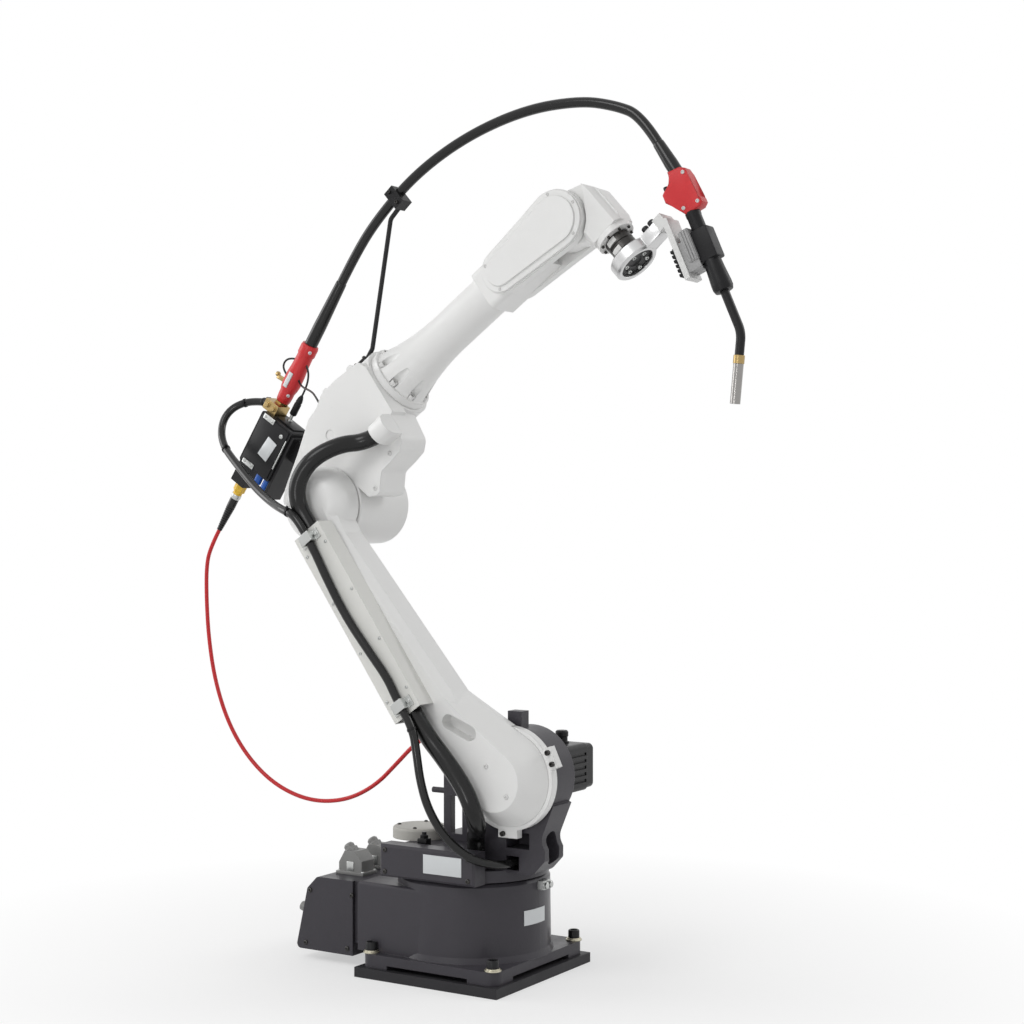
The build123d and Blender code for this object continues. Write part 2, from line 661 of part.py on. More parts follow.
HANDLE_X0 = FEEDER_TOP + BLOCK_L + COUPLING_L


def wire_block():
    return block(FEEDER_TOP, FEEDER_TOP + BLOCK_L, -0.8 * BLOCK_W, 0.2 * BLOCK_W, WIRE_Z - BLOCK_W / 2,
                 WIRE_Z + BLOCK_W / 2)


def brass_couplings():
    return FEEDER * (wire_block() + drum_x(COUPLING_R, FEEDER_TOP + BLOCK_L, HANDLE_X0, 0, WIRE_Z))


PLUG = Pos(PLUG_X, PLUG_Y, WIRE_Z + BLOCK_W / 2) * Rot(0, -PLUG_TILT, 0)


def feeder_plugs():
    """The power gland on the side of the brass block and the control plug on the upper end."""
    gland = PLUG * drum_z(PLUG_R, -PLUG_R * tan(radians(PLUG_TILT)), PLUG_L) - wire_block()
    control = drum_x(CONTROL_R, FEEDER_TOP, FEEDER_TOP + CONTROL_L, -4, WIRE_Z - HANDLE_R - 3 * CONTROL_R)
    return Compound(children=[FEEDER * gland, FEEDER * control])


def cable_handle():
    return FEEDER * cone_x(HANDLE_R, HANDLE_TIP_R, HANDLE_X0, HANDLE_X0 + HANDLE_L, 0, WIRE_Z)


def handle_boot():
    start = HANDLE_X0 + HANDLE_L
    return FEEDER * cone_x(BOOT_R, TORCH_CABLE_D / 2 + 1, start, start + BOOT_L, 0, WIRE_Z)


def forearm_casting():
    """A flared tube on the roll seat, with bolt flutes at its root and a fork for the wrist at its end."""
    start = ROLL_FACE + BEARING_GAP
    flange_end = start + ROLL_FLANGE_T
    flare_end = flange_end + TUBE_FLARE
    fork_start = FOREARM_REACH - FORK_BACK
    fork_end = FOREARM_REACH - WRIST_HUB_R - WRIST_ROOM
    profile = Polyline((flare_end, TUBE_END_R), (fork_start + FORK_ROUND, TUBE_END_R), (fork_start + FORK_ROUND, 0),
                       (start, 0), (start, ROLL_FLANGE_R), (flange_end, ROLL_FLANGE_R), (flange_end, TUBE_ROOT_R))
    profile += TangentArc((flare_end, TUBE_END_R), (flange_end, TUBE_ROOT_R), tangent=(-1, 0))
    tube = revolve(Plane.XZ * make_face(profile), Axis.X)
    for index in range(ROLL_BOLTS):
        turn = Rot(360 * (index + 0.5) / ROLL_BOLTS, 0, 0)
        tube -= turn * drum_x(FLUTE_R, flange_end, flange_end + FLUTE_L, 0, FLUTE_CENTRE_R)
    fork = block(fork_start, fork_end, -FORK_HALF_Y, FORK_HALF_Y, -FORK_LOW, FORK_TOP)
    fork = fillet(fork.edges().filter_by(Axis.X), FORK_ROUND)
    cheek = slab(tapered_slot(FOREARM_REACH, CHEEK_R, FOREARM_REACH - SIDE_COVER_L, CHEEK_REAR_R, 0),
                 -FORK_HALF_Y, -FORK_HALF_Y + CHEEK_T)
    return FOREARM * Pos(0, 0, FOREARM_OFFSET) * (tube + fork + cheek + mirror(cheek, Plane.XZ))


def side_covers():
    """A rimmed cover with a raised panel on each cheek of the fork."""
    rear = FOREARM_REACH - SIDE_COVER_L
    rim = tapered_slot(FOREARM_REACH, SIDE_COVER_R, rear, SIDE_COVER_REAR_R, FOREARM_OFFSET)
    panel = tapered_slot(FOREARM_REACH, SIDE_COVER_R - PANEL_INSET, rear, SIDE_COVER_REAR_R - PANEL_INSET,
                         FOREARM_OFFSET)
    face = -FORK_HALF_Y - SIDE_COVER_T
    near = slab(rim, face, -FORK_HALF_Y) + slab(panel, face - PANEL_T, face)
    return Compound(children=[FOREARM * near, FOREARM * mirror(near, Plane.XZ)])


def wrist_casting():
    """A hub between the cheeks of the fork, with a rounded nose beside it that carries the tool."""
    hub_half = FORK_HALF_Y - CHEEK_T - HUB_SIDE_GAP
    bearing = FORK_HALF_Y - CHEEK_T - BEARING_GAP
    hub = drum_y(WRIST_HUB_R, -hub_half, hub_half) + drum_y(WRIST_BEARING_R, -bearing, bearing)
    low, high = TOOL_OFFSET - WRIST_NOSE_HALF, TOOL_OFFSET + WRIST_NOSE_HALF
    profile = rounded(
        (-WRIST_BACK, high - 14, 14), (10, high + 4, 24), (WRIST_NOSE - 14, high + 4, 8), (WRIST_NOSE, high, 0),
        (WRIST_NOSE, low, 0), (WRIST_NOSE - 22, low - 4, 10), (0.7 * WRIST_HUB_R, -0.64 * WRIST_HUB_R, 0),
        (-0.8 * WRIST_HUB_R, 0.5 * WRIST_HUB_R, 0))
    neck = slab(profile, -hub_half, hub_half)
    nose = slab(profile, -WRIST_NOSE_HALF_Y, WRIST_NOSE_HALF_Y)
    nose &= drum_x(WRIST_BARREL_R, -WRIST_HUB_R, WRIST_NOSE, 0, TOOL_OFFSET)
    swept = tapered_slot(0, CHEEK_R + CHEEK_ROOM, -SIDE_COVER_L, CHEEK_REAR_R + CHEEK_ROOM, 0)
    cheek_room = slab(Rot(0, 0, -WRIST_LIFT) * swept, hub_half, WRIST_NOSE_HALF_Y)
    nose = nose - cheek_room - mirror(cheek_room, Plane.XZ)
    return WRIST * (hub + neck + nose)


def wrist_ring():
    return TOOL * drum_x(WRIST_RING_R, WRIST_NOSE, WRIST_NOSE + WRIST_RING_T)


def tool_flange():
    return TOOL * drum_x(DRUM_R, DRUM_X0, BRACKET_X0)


def torch_bracket():
    ring = drum_x(BRACKET_R, BRACKET_X0, BRACKET_X0 + BRACKET_T)
    arm = block(BRACKET_X0, BRACKET_X0 + BRACKET_T, -BRACKET_ARM_W / 2, BRACKET_ARM_W / 2, 0, BRACKET_ARM_END)
    return TOOL * (ring + arm)


def torch_angle():
    """The pale angle plate that turns from the bracket arm to run along the torch."""
    half = ANGLE_W / 2
    foot = block(BRACKET_X0, BRACKET_X0 + BRACKET_T, -half, half, BRACKET_ARM_END, BRACKET_ARM_END + ANGLE_FOOT)
    leaf = block(-ANGLE_BACK, ANGLE_L - ANGLE_BACK, -half, half, ANGLE_UP - ANGLE_T, ANGLE_UP)
    return TOOL * foot + TORCH * leaf


def torch_clamp():
    half = TORCH_CLAMP_W / 2
    clamp = block(TORCH_CLAMP_X, TORCH_CLAMP_X + TORCH_CLAMP_L, -half, half, ANGLE_UP, -HOLDER_R + 6)
    return TORCH * clamp - torch_holder()


def torch_holder():
    return TORCH * drum_x(HOLDER_R, 0, HOLDER_L)


def torch_shell():
    front = -THROAT_L
    shell = drum_x(SHELL_R, front - SHELL_L, front)
    shell = fillet(shell.edges(), SHELL_R / 4)
    bump = slab(rounded((front - 64, -SHELL_R + 8, 0), (front - 48, -SHELL_R - 22, 8), (front - 22, -SHELL_R - 16, 8),
                        (front - 6, -SHELL_R + 8, 0)), -0.75 * SHELL_R, 0.75 * SHELL_R)
    throat = drum_x(THROAT_R, front, 0)
    return TORCH * (shell + bump + throat)


NECK_X0 = HOLDER_L


def neck_end(after):
    """A place on the torch's bent end, a given distance past the bend."""
    bend = radians(NECK_BEND)
    x = NECK_X0 + NECK_STRAIGHT + NECK_BEND_R * sin(bend)
    z = -NECK_BEND_R * (1 - cos(bend))
    return TORCH * Pos(x, 0, z) * Rot(0, NECK_BEND, 0) * Pos(after, 0, 0)


def torch_neck():
    bend = radians(NECK_BEND)
    start = Vector(NECK_X0, 0, 0)
    knee = Vector(NECK_X0 + NECK_STRAIGHT, 0, 0)
    half = Vector(NECK_BEND_R * sin(bend / 2), 0, -NECK_BEND_R * (1 - cos(bend / 2)))
    full = Vector(NECK_BEND_R * sin(bend), 0, -NECK_BEND_R * (1 - cos(bend)))
    tail = Vector(NECK_AFTER * cos(bend), 0, -NECK_AFTER * sin(bend))
    path = Line(start, knee) + ThreePointArc(knee, knee + half, knee + full)
    path += Line(knee + full, knee + full + tail)
    return TORCH * sweep(Plane(start, z_dir=(1, 0, 0)) * Circle(TORCH_NECK_R), Wire(path.edges()))


def nozzle_collar():
    return neck_end(NECK_AFTER) * drum_x(COLLAR_R, 0, BRASS_COLLAR_L)


def nozzle():
    """A plated tube that is open at its end, with the contact tip inside."""
    tube = drum_x(NOZZLE_R, 0, NOZZLE_L) - drum_x(NOZZLE_R - NOZZLE_WALL, NOZZLE_L - NOZZLE_DEPTH, NOZZLE_L)
    tip = drum_x(TIP_R, NOZZLE_L - NOZZLE_DEPTH, NOZZLE_L - 4)
    return neck_end(NECK_AFTER + BRASS_COLLAR_L) * (tube + tip)


PORT_T = -50
PORT_S = 150
PORT_L = 22


def shell_boot():
    return SHELL_BOOT * cone_x(TORCH_CABLE_D / 2 + 1, BOOT_R, -SHELL_BOOT_L, 0) - torch_shell()


def hose_port():
    return ARM * drum_y(9, ARM_FAR, ARM_FAR + PORT_L, PORT_T, PORT_S)


# Routes of the cords, each from its first fitting to its last
BOOT_END = HANDLE_X0 + HANDLE_L + BOOT_L
TORCH_CABLE = [
    place(FEEDER, BOOT_END, 0, WIRE_Z), place(FEEDER, BOOT_END + 80, 0, WIRE_Z), place(CLIP, -CLIP_RUN, 0, 0),
    place(CLIP, CLIP_RUN, 0, 0), (-20, 0, 1731), (125, 0, 1770), (255, 0, 1773), (335, 0, 1754),
    place(SHELL_BOOT, -2 * SHELL_BOOT_L, 0, 0), place(SHELL_BOOT, -SHELL_BOOT_L, 0, 0)]
TORCH_CABLE_REAR = TORCH_CABLE[:3] + [halfway(TORCH_CABLE, 2)]
TORCH_CABLE_ARCH = [halfway(TORCH_CABLE, 2)] + TORCH_CABLE[3:6] + [halfway(TORCH_CABLE, 5)]
TORCH_CABLE_TOP = [halfway(TORCH_CABLE, 5)] + TORCH_CABLE[6:8] + [halfway(TORCH_CABLE, 7)]
TORCH_CABLE_END = [halfway(TORCH_CABLE, 7)] + TORCH_CABLE[8:]
POWER_CABLE = [
    place(FEEDER * PLUG, 0, 0, PLUG_L), place(FEEDER * PLUG, 0, 0, PLUG_L + 34), (-623, -30, 1186),
    (-644, -42, 1160), (-639, -58, 1124), (-612, -76, 1091), (-570, -94, 1062), (-520, -116, 1030),
    (-463, -140, 995), (-402, -168, 968), (-340, -200, 952), place(TRAY, 0, CABLE_Y, CABLE_HALF + 42),
    place(TRAY, 0, CABLE_Y, CABLE_HALF)]
ELBOW_CONDUIT = [
    place(FOREARM, COLLAR_X, COLLAR_SIDE, COLLAR_UP), place(FOREARM, COLLAR_X - 45, COLLAR_SIDE, COLLAR_UP),
    (-280, -187, 1050), (-312, -190, 1010), (-310, -189, 960), place(TRAY, 0, CONDUIT_Y, CONDUIT_TOP + 65),
    place(TRAY, 0, CONDUIT_Y, CONDUIT_TOP)]
SHOULDER_CONDUIT = [
    place(TRAY, 0, CONDUIT_Y, CONDUIT_LOW), place(TRAY, 0, CONDUIT_Y, CONDUIT_LOW - 55), (54, -193, 455),
    (96, -191, 404), (114, -189, 365), (99, -151, 331), (72, -104, 306), (72, -104, DECK_TOP)]
SHOULDER_CABLE = [
    place(TRAY, 0, CABLE_Y, -CABLE_HALF), place(TRAY, 0, CABLE_Y, -CABLE_HALF - 36), (12, -224, 470),
    (20, -224, 420), (40, -220, 368), (74, -207, 312), (116, -178, 268), (142, -128, 250),
    (SHOULDER_X - 3, HOUSING_NEAR, DISC_TOP + 16), (SHOULDER_X - 3, HOUSING_NEAR + WINDOW_DEPTH, DISC_TOP + 16)]
HOSE_END = INLET_X0 - FITTING_L - HOSE_BOOT_L
GAS_HOSE = [
    place(FEEDER, HOSE_END, HOSE_Y, HOSE_Z), place(FEEDER, HOSE_END - 46, HOSE_Y, HOSE_Z), (-722, -12, 830),
    (-722, -12, 750), (-715, -12, 660), (-698, -10, 565), (-660, -8, 470), (-602, -6, 395), (-525, -4, 340),
    (-430, -2, 313), (-335, 0, 322), (-255, 0, 360), (-195, 0, 415), (-150, 0, 458), (-98, 0, 487),
    (-44, -1, 499), (-2, -10, 502), place(ARM, PORT_T, ARM_FAR + PORT_L + 34, PORT_S),
    place(ARM, PORT_T, ARM_FAR + PORT_L, PORT_S)]

ROD_FOOT_TOP = FOREARM_OFFSET + ROLL_BARREL_R + ROD_FOOT_H


def support_rod():
    """The bent rod that carries the torch cable, with its foot on the elbow casting."""
    foot = FOREARM * block(ROD_FOOT_X - ROD_FOOT_L / 2, ROD_FOOT_X + ROD_FOOT_L / 2, -ROD_FOOT_W / 2, ROD_FOOT_W / 2,
                           FOREARM_OFFSET, ROD_FOOT_TOP)
    path = FilletPolyline(place(FOREARM, ROD_FOOT_X, 0, ROD_FOOT_TOP - 4), place(FOREARM, ROD_FOOT_X + 36, 0, 244),
                          place(FOREARM, CLIP_AHEAD - 40, 0, CLIP_UP - 29), place(CLIP, 2, 0, -22), radius=18)
    rod = sweep(Plane(path @ 0, z_dir=path % 0) * Circle(ROD_R), path)
    return foot + rod - elbow_casting() - rod_clip()


def rod_clip():
    """The block that holds the torch cable at the top of the rod."""
    half = CLIP_L / 2
    clip = block(-half, half, -CLIP_W / 2, CLIP_W / 2, -28, CLIP_W / 2)
    return CLIP * (clip - drum_x(TORCH_CABLE_D / 2 + 0.3, -half, half))


parts["floor_plate"] = floor_plate()
parts["base_casting"] = base_casting()
parts["rear_box"] = rear_box()
parts["connector_hoods"] = connector_hoods()
parts["rear_glands"] = rear_glands()
parts["turn_stop"] = turn_stop()
parts["turret_casting"] = turret_casting()
parts["rear_plate"] = rear_plate()
parts["turret_side_cover"] = turret_side_cover()
parts["turn_motor_lid"] = turn_motor_lid()
parts["shoulder_motor"] = shoulder_motor()
parts["shoulder_motor_cap"] = shoulder_motor_cap()
parts["upper_arm_casting"] = upper_arm_casting()
parts["shoulder_ring"] = shoulder_ring()
parts["cable_tray"] = cable_tray()
parts["arm_conduit"] = arm_conduit()
parts["tray_cable"] = tray_cable()
parts["tray_clamps"] = tray_clamps()
parts["elbow_casting"] = elbow_casting()
parts["elbow_hub_cover"] = elbow_hub_cover()
parts["feeder_bracket"] = feeder_bracket()
parts["feeder_body"] = feeder_body()
parts["feeder_motor"] = feeder_motor()
parts["hose_fitting"] = hose_fitting()
parts["hose_boot"] = hose_boot()
parts["air_connectors"] = air_connectors()
parts["feeder_plugs"] = feeder_plugs()
parts["support_rod"] = support_rod()
parts["rod_clip"] = rod_clip()
parts["brass_couplings"] = brass_couplings()
parts["cable_handle"] = cable_handle()
parts["handle_boot"] = handle_boot()
parts["forearm_casting"] = forearm_casting()
parts["side_covers"] = side_covers()
parts["wrist_casting"] = wrist_casting()
parts["wrist_ring"] = wrist_ring()
parts["tool_flange"] = tool_flange()
parts["torch_bracket"] = torch_bracket()
parts["torch_angle"] = torch_angle()
parts["torch_clamp"] = torch_clamp()
parts["torch_holder"] = torch_holder()
parts["torch_shell"] = torch_shell()
parts["torch_neck"] = torch_neck()
parts["nozzle_collar"] = nozzle_collar()
parts["nozzle"] = nozzle()
parts["shell_boot"] = shell_boot()
parts["hose_port"] = hose_port()
parts["torch_cable_rear"] = cord("torch_cable_rear", TORCH_CABLE_REAR, TORCH_CABLE_D)
parts["torch_cable_arch"] = cord("torch_cable_arch", TORCH_CABLE_ARCH, TORCH_CABLE_D)
parts["torch_cable_top"] = cord("torch_cable_top", TORCH_CABLE_TOP, TORCH_CABLE_D)
parts["torch_cable_end"] = cord("torch_cable_end", TORCH_CABLE_END, TORCH_CABLE_D)
parts["power_cable"] = cord("power_cable", POWER_CABLE, POWER_CABLE_D)
parts["elbow_conduit"] = cord("elbow_conduit", ELBOW_CONDUIT, CONDUIT_D)
parts["shoulder_conduit"] = cord("shoulder_conduit", SHOULDER_CONDUIT, CONDUIT_D)
parts["shoulder_cable"] = cord("shoulder_cable", SHOULDER_CABLE, POWER_CABLE_D)
parts["gas_hose"] = cord("gas_hose", GAS_HOSE, GAS_HOSE_D)

print("elbow", ELBOW, "wrist", WRIST_CENTRE, "tip", neck_end(NECK_AFTER + BRASS_COLLAR_L + NOZZLE_L).position)
os.makedirs("parts", exist_ok=True)
for name, shape in parts.items():
    export_step(shape, f"parts/{name}.step")
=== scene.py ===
# %% [markdown]
# # A welding robot arm, dressed for the studio
#
# The castings, covers and fittings of this robot come from its CAD model, already in metres and in
# place. Blender adds what a drawing leaves out: the paint, the rubber and the metal, the bolts, and
# the cables that run across the joints. The lesson goes from the camera and the light to the
# finishes, then the cables and the small pieces.

# %% Load the imported model
import bpy
import bmesh
import json
from math import cos, pi, radians, sin
from mathutils import Matrix, Vector

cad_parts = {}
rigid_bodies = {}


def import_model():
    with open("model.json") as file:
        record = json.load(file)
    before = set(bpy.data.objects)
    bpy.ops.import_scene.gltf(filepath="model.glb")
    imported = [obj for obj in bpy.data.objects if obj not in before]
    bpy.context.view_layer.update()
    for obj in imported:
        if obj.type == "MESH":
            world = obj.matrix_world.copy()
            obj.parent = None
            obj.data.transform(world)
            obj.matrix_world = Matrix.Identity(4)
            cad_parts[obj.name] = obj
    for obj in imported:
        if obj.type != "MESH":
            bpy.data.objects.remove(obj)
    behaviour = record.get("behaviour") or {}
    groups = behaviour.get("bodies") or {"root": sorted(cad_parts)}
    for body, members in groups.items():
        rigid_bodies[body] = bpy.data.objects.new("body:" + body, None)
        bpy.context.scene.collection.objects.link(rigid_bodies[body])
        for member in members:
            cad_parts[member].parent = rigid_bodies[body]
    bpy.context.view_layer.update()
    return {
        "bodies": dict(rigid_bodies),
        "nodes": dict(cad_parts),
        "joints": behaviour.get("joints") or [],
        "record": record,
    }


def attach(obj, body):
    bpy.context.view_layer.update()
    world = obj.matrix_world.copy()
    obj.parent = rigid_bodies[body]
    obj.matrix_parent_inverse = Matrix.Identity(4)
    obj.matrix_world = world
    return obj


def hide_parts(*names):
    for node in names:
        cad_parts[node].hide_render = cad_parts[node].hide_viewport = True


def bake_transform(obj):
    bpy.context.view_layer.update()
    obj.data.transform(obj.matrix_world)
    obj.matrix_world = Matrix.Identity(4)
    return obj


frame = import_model()
nodes = frame["nodes"]
scene = bpy.context.scene
scene.view_settings.view_transform = "Standard"

# %% [markdown]
# The photograph is taken level, from the robot's right front, with a short telephoto lens. A camera
# that looks along the floor keeps upright edges upright, so its pitch is zero and only its turn
# about Z is set.

# %% Camera
CAMERA_PLACE = (2.125, -3.227, 0.949)
CAMERA_TURN = radians(32.2)
CAMERA_LENS = 65.4
SENSOR_WIDTH = 36.0

camera_data = bpy.data.cameras.new("camera")
camera_data.lens = CAMERA_LENS
camera_data.sensor_width = SENSOR_WIDTH
camera = bpy.data.objects.new("camera", camera_data)
camera.location = CAMERA_PLACE
camera.rotation_euler = (pi / 2, 0, CAMERA_TURN)
scene.collection.objects.link(camera)
scene.camera = camera
print("camera lens", camera_data.lens)

# %% [markdown]
# A node tree is easier to read when one helper adds a node and fills in its inputs. A link is given
# as another node's output socket, and a plain value goes into the socket itself.

# %% Helpers for node trees


def add_node(tree, kind, **inputs):
    node = tree.nodes.new("ShaderNode" + kind)
    for name, value in inputs.items():
        if name.startswith("set_"):
            setattr(node, name[4:], value)
            continue
        numbered = name[0] == "i" and name[1:].isdigit()
        socket = node.inputs[int(name[1:]) if numbered else name]
        if isinstance(value, bpy.types.NodeSocket):
            tree.links.new(value, socket)
        else:
            socket.default_value = value
    return node


def new_group(name, inputs, outputs):
    """An empty shader group with float inputs and the outputs that it promises."""
    tree = bpy.data.node_groups.new(name, "ShaderNodeTree")
    for label, value in inputs:
        socket = tree.interface.new_socket(label, in_out="INPUT", socket_type="NodeSocketFloat")
        socket.default_value = value
    for label, kind in outputs:
        tree.interface.new_socket(label, in_out="OUTPUT", socket_type="NodeSocket" + kind)
    return tree, tree.nodes.new("NodeGroupInput"), tree.nodes.new("NodeGroupOutput")


# %% [markdown]
# A studio shot on white needs two things at once: a background that reads as pure white, and light
# that leaves the white paint some grey to model its curves. The world shows white only to the
# camera and to reflections, and lights the object at a lower level.

# %% World
AMBIENT = 0.46
PURE_WHITE = (1, 1, 1, 1)


def seen_directly(tree):
    """One for rays from the camera, mirrors and glass, zero for rays that light the object."""
    path = add_node(tree, "LightPath")
    first = add_node(
        tree, "Math", set_operation="MAXIMUM", i0=path.outputs["Is Camera Ray"],
        i1=path.outputs["Is Glossy Ray"])
    both = add_node(tree, "Math", set_operation="MAXIMUM", i0=first.outputs[0],
                    i1=path.outputs["Is Transmission Ray"])
    return both.outputs[0]


world = bpy.data.worlds.new("studio")
scene.world = world
world.use_nodes = True
tree = world.node_tree
tree.nodes.clear()
ambient = add_node(tree, "Background", Color=PURE_WHITE, Strength=AMBIENT)
white = add_node(tree, "Background", Color=PURE_WHITE, Strength=1.0)
mixed = add_node(tree, "MixShader", i0=seen_directly(tree), i1=ambient.outputs[0],
                 i2=white.outputs[0])
add_node(tree, "OutputWorld", Surface=mixed.outputs[0])
print("world", world.name, "ambient", AMBIENT)

# %% [markdown]
# The floor is pale near the robot, to take its shadow, and fades to the same white further out, so
# no horizon shows.

# %% Floor
FLOOR_SIZE, FLOOR_Z = 40, -0.0005
FLOOR_PALE = (0.93, 0.93, 0.93, 1)
FADE_START, FADE_END = 0.35, 1.4
NEAR_SHARE = 0.5

floor_material = bpy.data.materials.new("studio_floor")
floor_material.use_nodes = True
tree = floor_material.node_tree
tree.nodes.clear()
place = add_node(tree, "TexCoord")
radius = add_node(tree, "VectorMath", set_operation="LENGTH", i0=place.outputs["Object"])
fade = add_node(
    tree, "MapRange", i0=radius.outputs["Value"], i1=FADE_START, i2=FADE_END,
    i3=NEAR_SHARE, i4=1.0)
matte = add_node(tree, "BsdfDiffuse", Color=FLOOR_PALE)
glow = add_node(tree, "Emission", Color=PURE_WHITE, Strength=1.0)
share = add_node(tree, "Math", set_operation="MULTIPLY", i0=fade.outputs[0], i1=seen_directly(tree))
mixed = add_node(tree, "MixShader", i0=share.outputs[0], i1=matte.outputs[0], i2=glow.outputs[0])
add_node(tree, "OutputMaterial", Surface=mixed.outputs[0])

bpy.ops.mesh.primitive_plane_add(size=FLOOR_SIZE, location=(0, 0, FLOOR_Z))
floor = bpy.context.object
floor.name = "studio_floor"
floor.data.materials.append(floor_material)
print("floor", FLOOR_SIZE, "m wide")

# %% [markdown]
# A broad key lamp stands high in front, a side lamp fills from the feeder's side, and a rim lamp
# lifts the far edges. A small low lamp in front draws a thin highlight along every black cable.
# Each row gives a lamp's place, the point it looks at, its width in metres and its power in watts.

# %% Lamps
LAMPS = [
    ("key_lamp", (-0.6, -3.6, 3.9), (0, 0, 0.9), 2.2, 54),
    ("side_lamp", (-3.8, -1.2, 2.2), (0, 0, 0.9), 2.4, 40),
    ("rim_lamp", (2.8, 2.6, 3.2), (0, 0, 1.0), 2.0, 38),
    ("low_front_lamp", (0.3, -4.2, 0.8), (0, 0, 0.7), 0.9, 16),
]
for name, place, target, size, power in LAMPS:
    lamp = bpy.data.lights.new(name, "AREA")
    lamp.shape = "DISK"
    lamp.size = size
    lamp.energy = power
    holder = bpy.data.objects.new(name, lamp)
    holder.location = place
    holder.rotation_euler = (Vector(target) - Vector(place)).to_track_quat("-Z", "Y").to_euler()
    scene.collection.objects.link(holder)
print("lamps", [row[0] for row in LAMPS])

# %% [markdown]
# ## Shared surface effects
#
# Paint over a casting, moulded plastic and rubber all need small unevenness. One group makes it: a
# fine grain to bump the surface, and slow cloudy patches to vary colour and gloss. Each material
# gives the grain its own scale.

# %% Grain and patches
group, into, out = new_group("grain_and_patches", [("Grain Scale", 400.0), ("Patch Scale", 10.0)],
                             [("Grain", "Float"), ("Patch", "Float")])
place = add_node(group, "TexCoord")
grain = add_node(
    group, "TexNoise", Vector=place.outputs["Object"], Scale=into.outputs["Grain Scale"],
    Detail=3.0, Roughness=0.55)
patch = add_node(
    group, "TexNoise", Vector=place.outputs["Object"], Scale=into.outputs["Patch Scale"],
    Detail=5.0, Roughness=0.6)
group.links.new(grain.outputs[0], out.inputs["Grain"])
group.links.new(patch.outputs[0], out.inputs["Patch"])
GRAIN_AND_PATCHES = group
print("group", group.name)

# %% [markdown]
# Real edges are never sharp. The Bevel node looks round each point for nearby faces and gives the
# normal that a small radius would have. Where that normal differs most from the face's own there is
# an edge, so the same node also finds the places where paint thins and metal shines.

# %% Soft edges
group, into, out = new_group(
    "soft_edges", [("Radius", 0.0015), ("Wear Start", 0.02), ("Wear End", 0.25)],
    [("Normal", "Vector"), ("Edge", "Float")])
bevel = add_node(group, "Bevel", set_samples=6, Radius=into.outputs["Radius"])
flat = add_node(group, "NewGeometry")
agree = add_node(group, "VectorMath", set_operation="DOT_PRODUCT", i0=bevel.outputs[0],
                 i1=flat.outputs["Normal"])
differ = add_node(group, "Math", set_operation="SUBTRACT", i0=1.0, i1=agree.outputs["Value"])
edge = add_node(group, "MapRange", i0=differ.outputs[0], i1=into.outputs["Wear Start"],
                i2=into.outputs["Wear End"], i3=0.0, i4=1.0)
group.links.new(bevel.outputs[0], out.inputs["Normal"])
group.links.new(edge.outputs[0], out.inputs["Edge"])
SOFT_EDGES = group
print("group", group.name)

# %% [markdown]
# Machined metal carries fine parallel tool marks. A noise that is stretched along one axis gives
# them, and the bump takes it in place of the grain.

# %% Tool marks
group, into, out = new_group(
    "tool_marks", [("Scale", 900.0), ("Stretch", 0.05)], [("Marks", "Float")])
place = add_node(group, "TexCoord")
spread = add_node(group, "CombineXYZ", X=1.0, Y=into.outputs["Stretch"], Z=1.0)
scaled = add_node(
    group, "VectorMath", set_operation="MULTIPLY", i0=place.outputs["Object"],
    i1=spread.outputs[0])
marks = add_node(
    group, "TexNoise", Vector=scaled.outputs[0], Scale=into.outputs["Scale"], Detail=2.0,
    Roughness=0.5)
group.links.new(marks.outputs[0], out.inputs["Marks"])
TOOL_MARKS = group
print("group", group.name)

# %% [markdown]
# ## Finishes
#
# Every finish here is the same short chain with its own values: a base colour that drifts a little
# with the patches and lightens at worn edges, a roughness that drifts with them, and a bump from
# the grain or tool marks.

# %% A helper for the finishes
PATCH_LOW, PATCH_HIGH = 0.25, 0.75
SMOOTHEST = 0.02
BUMP_STRENGTH = 0.6
COAT_ROUGHNESS = 0.12


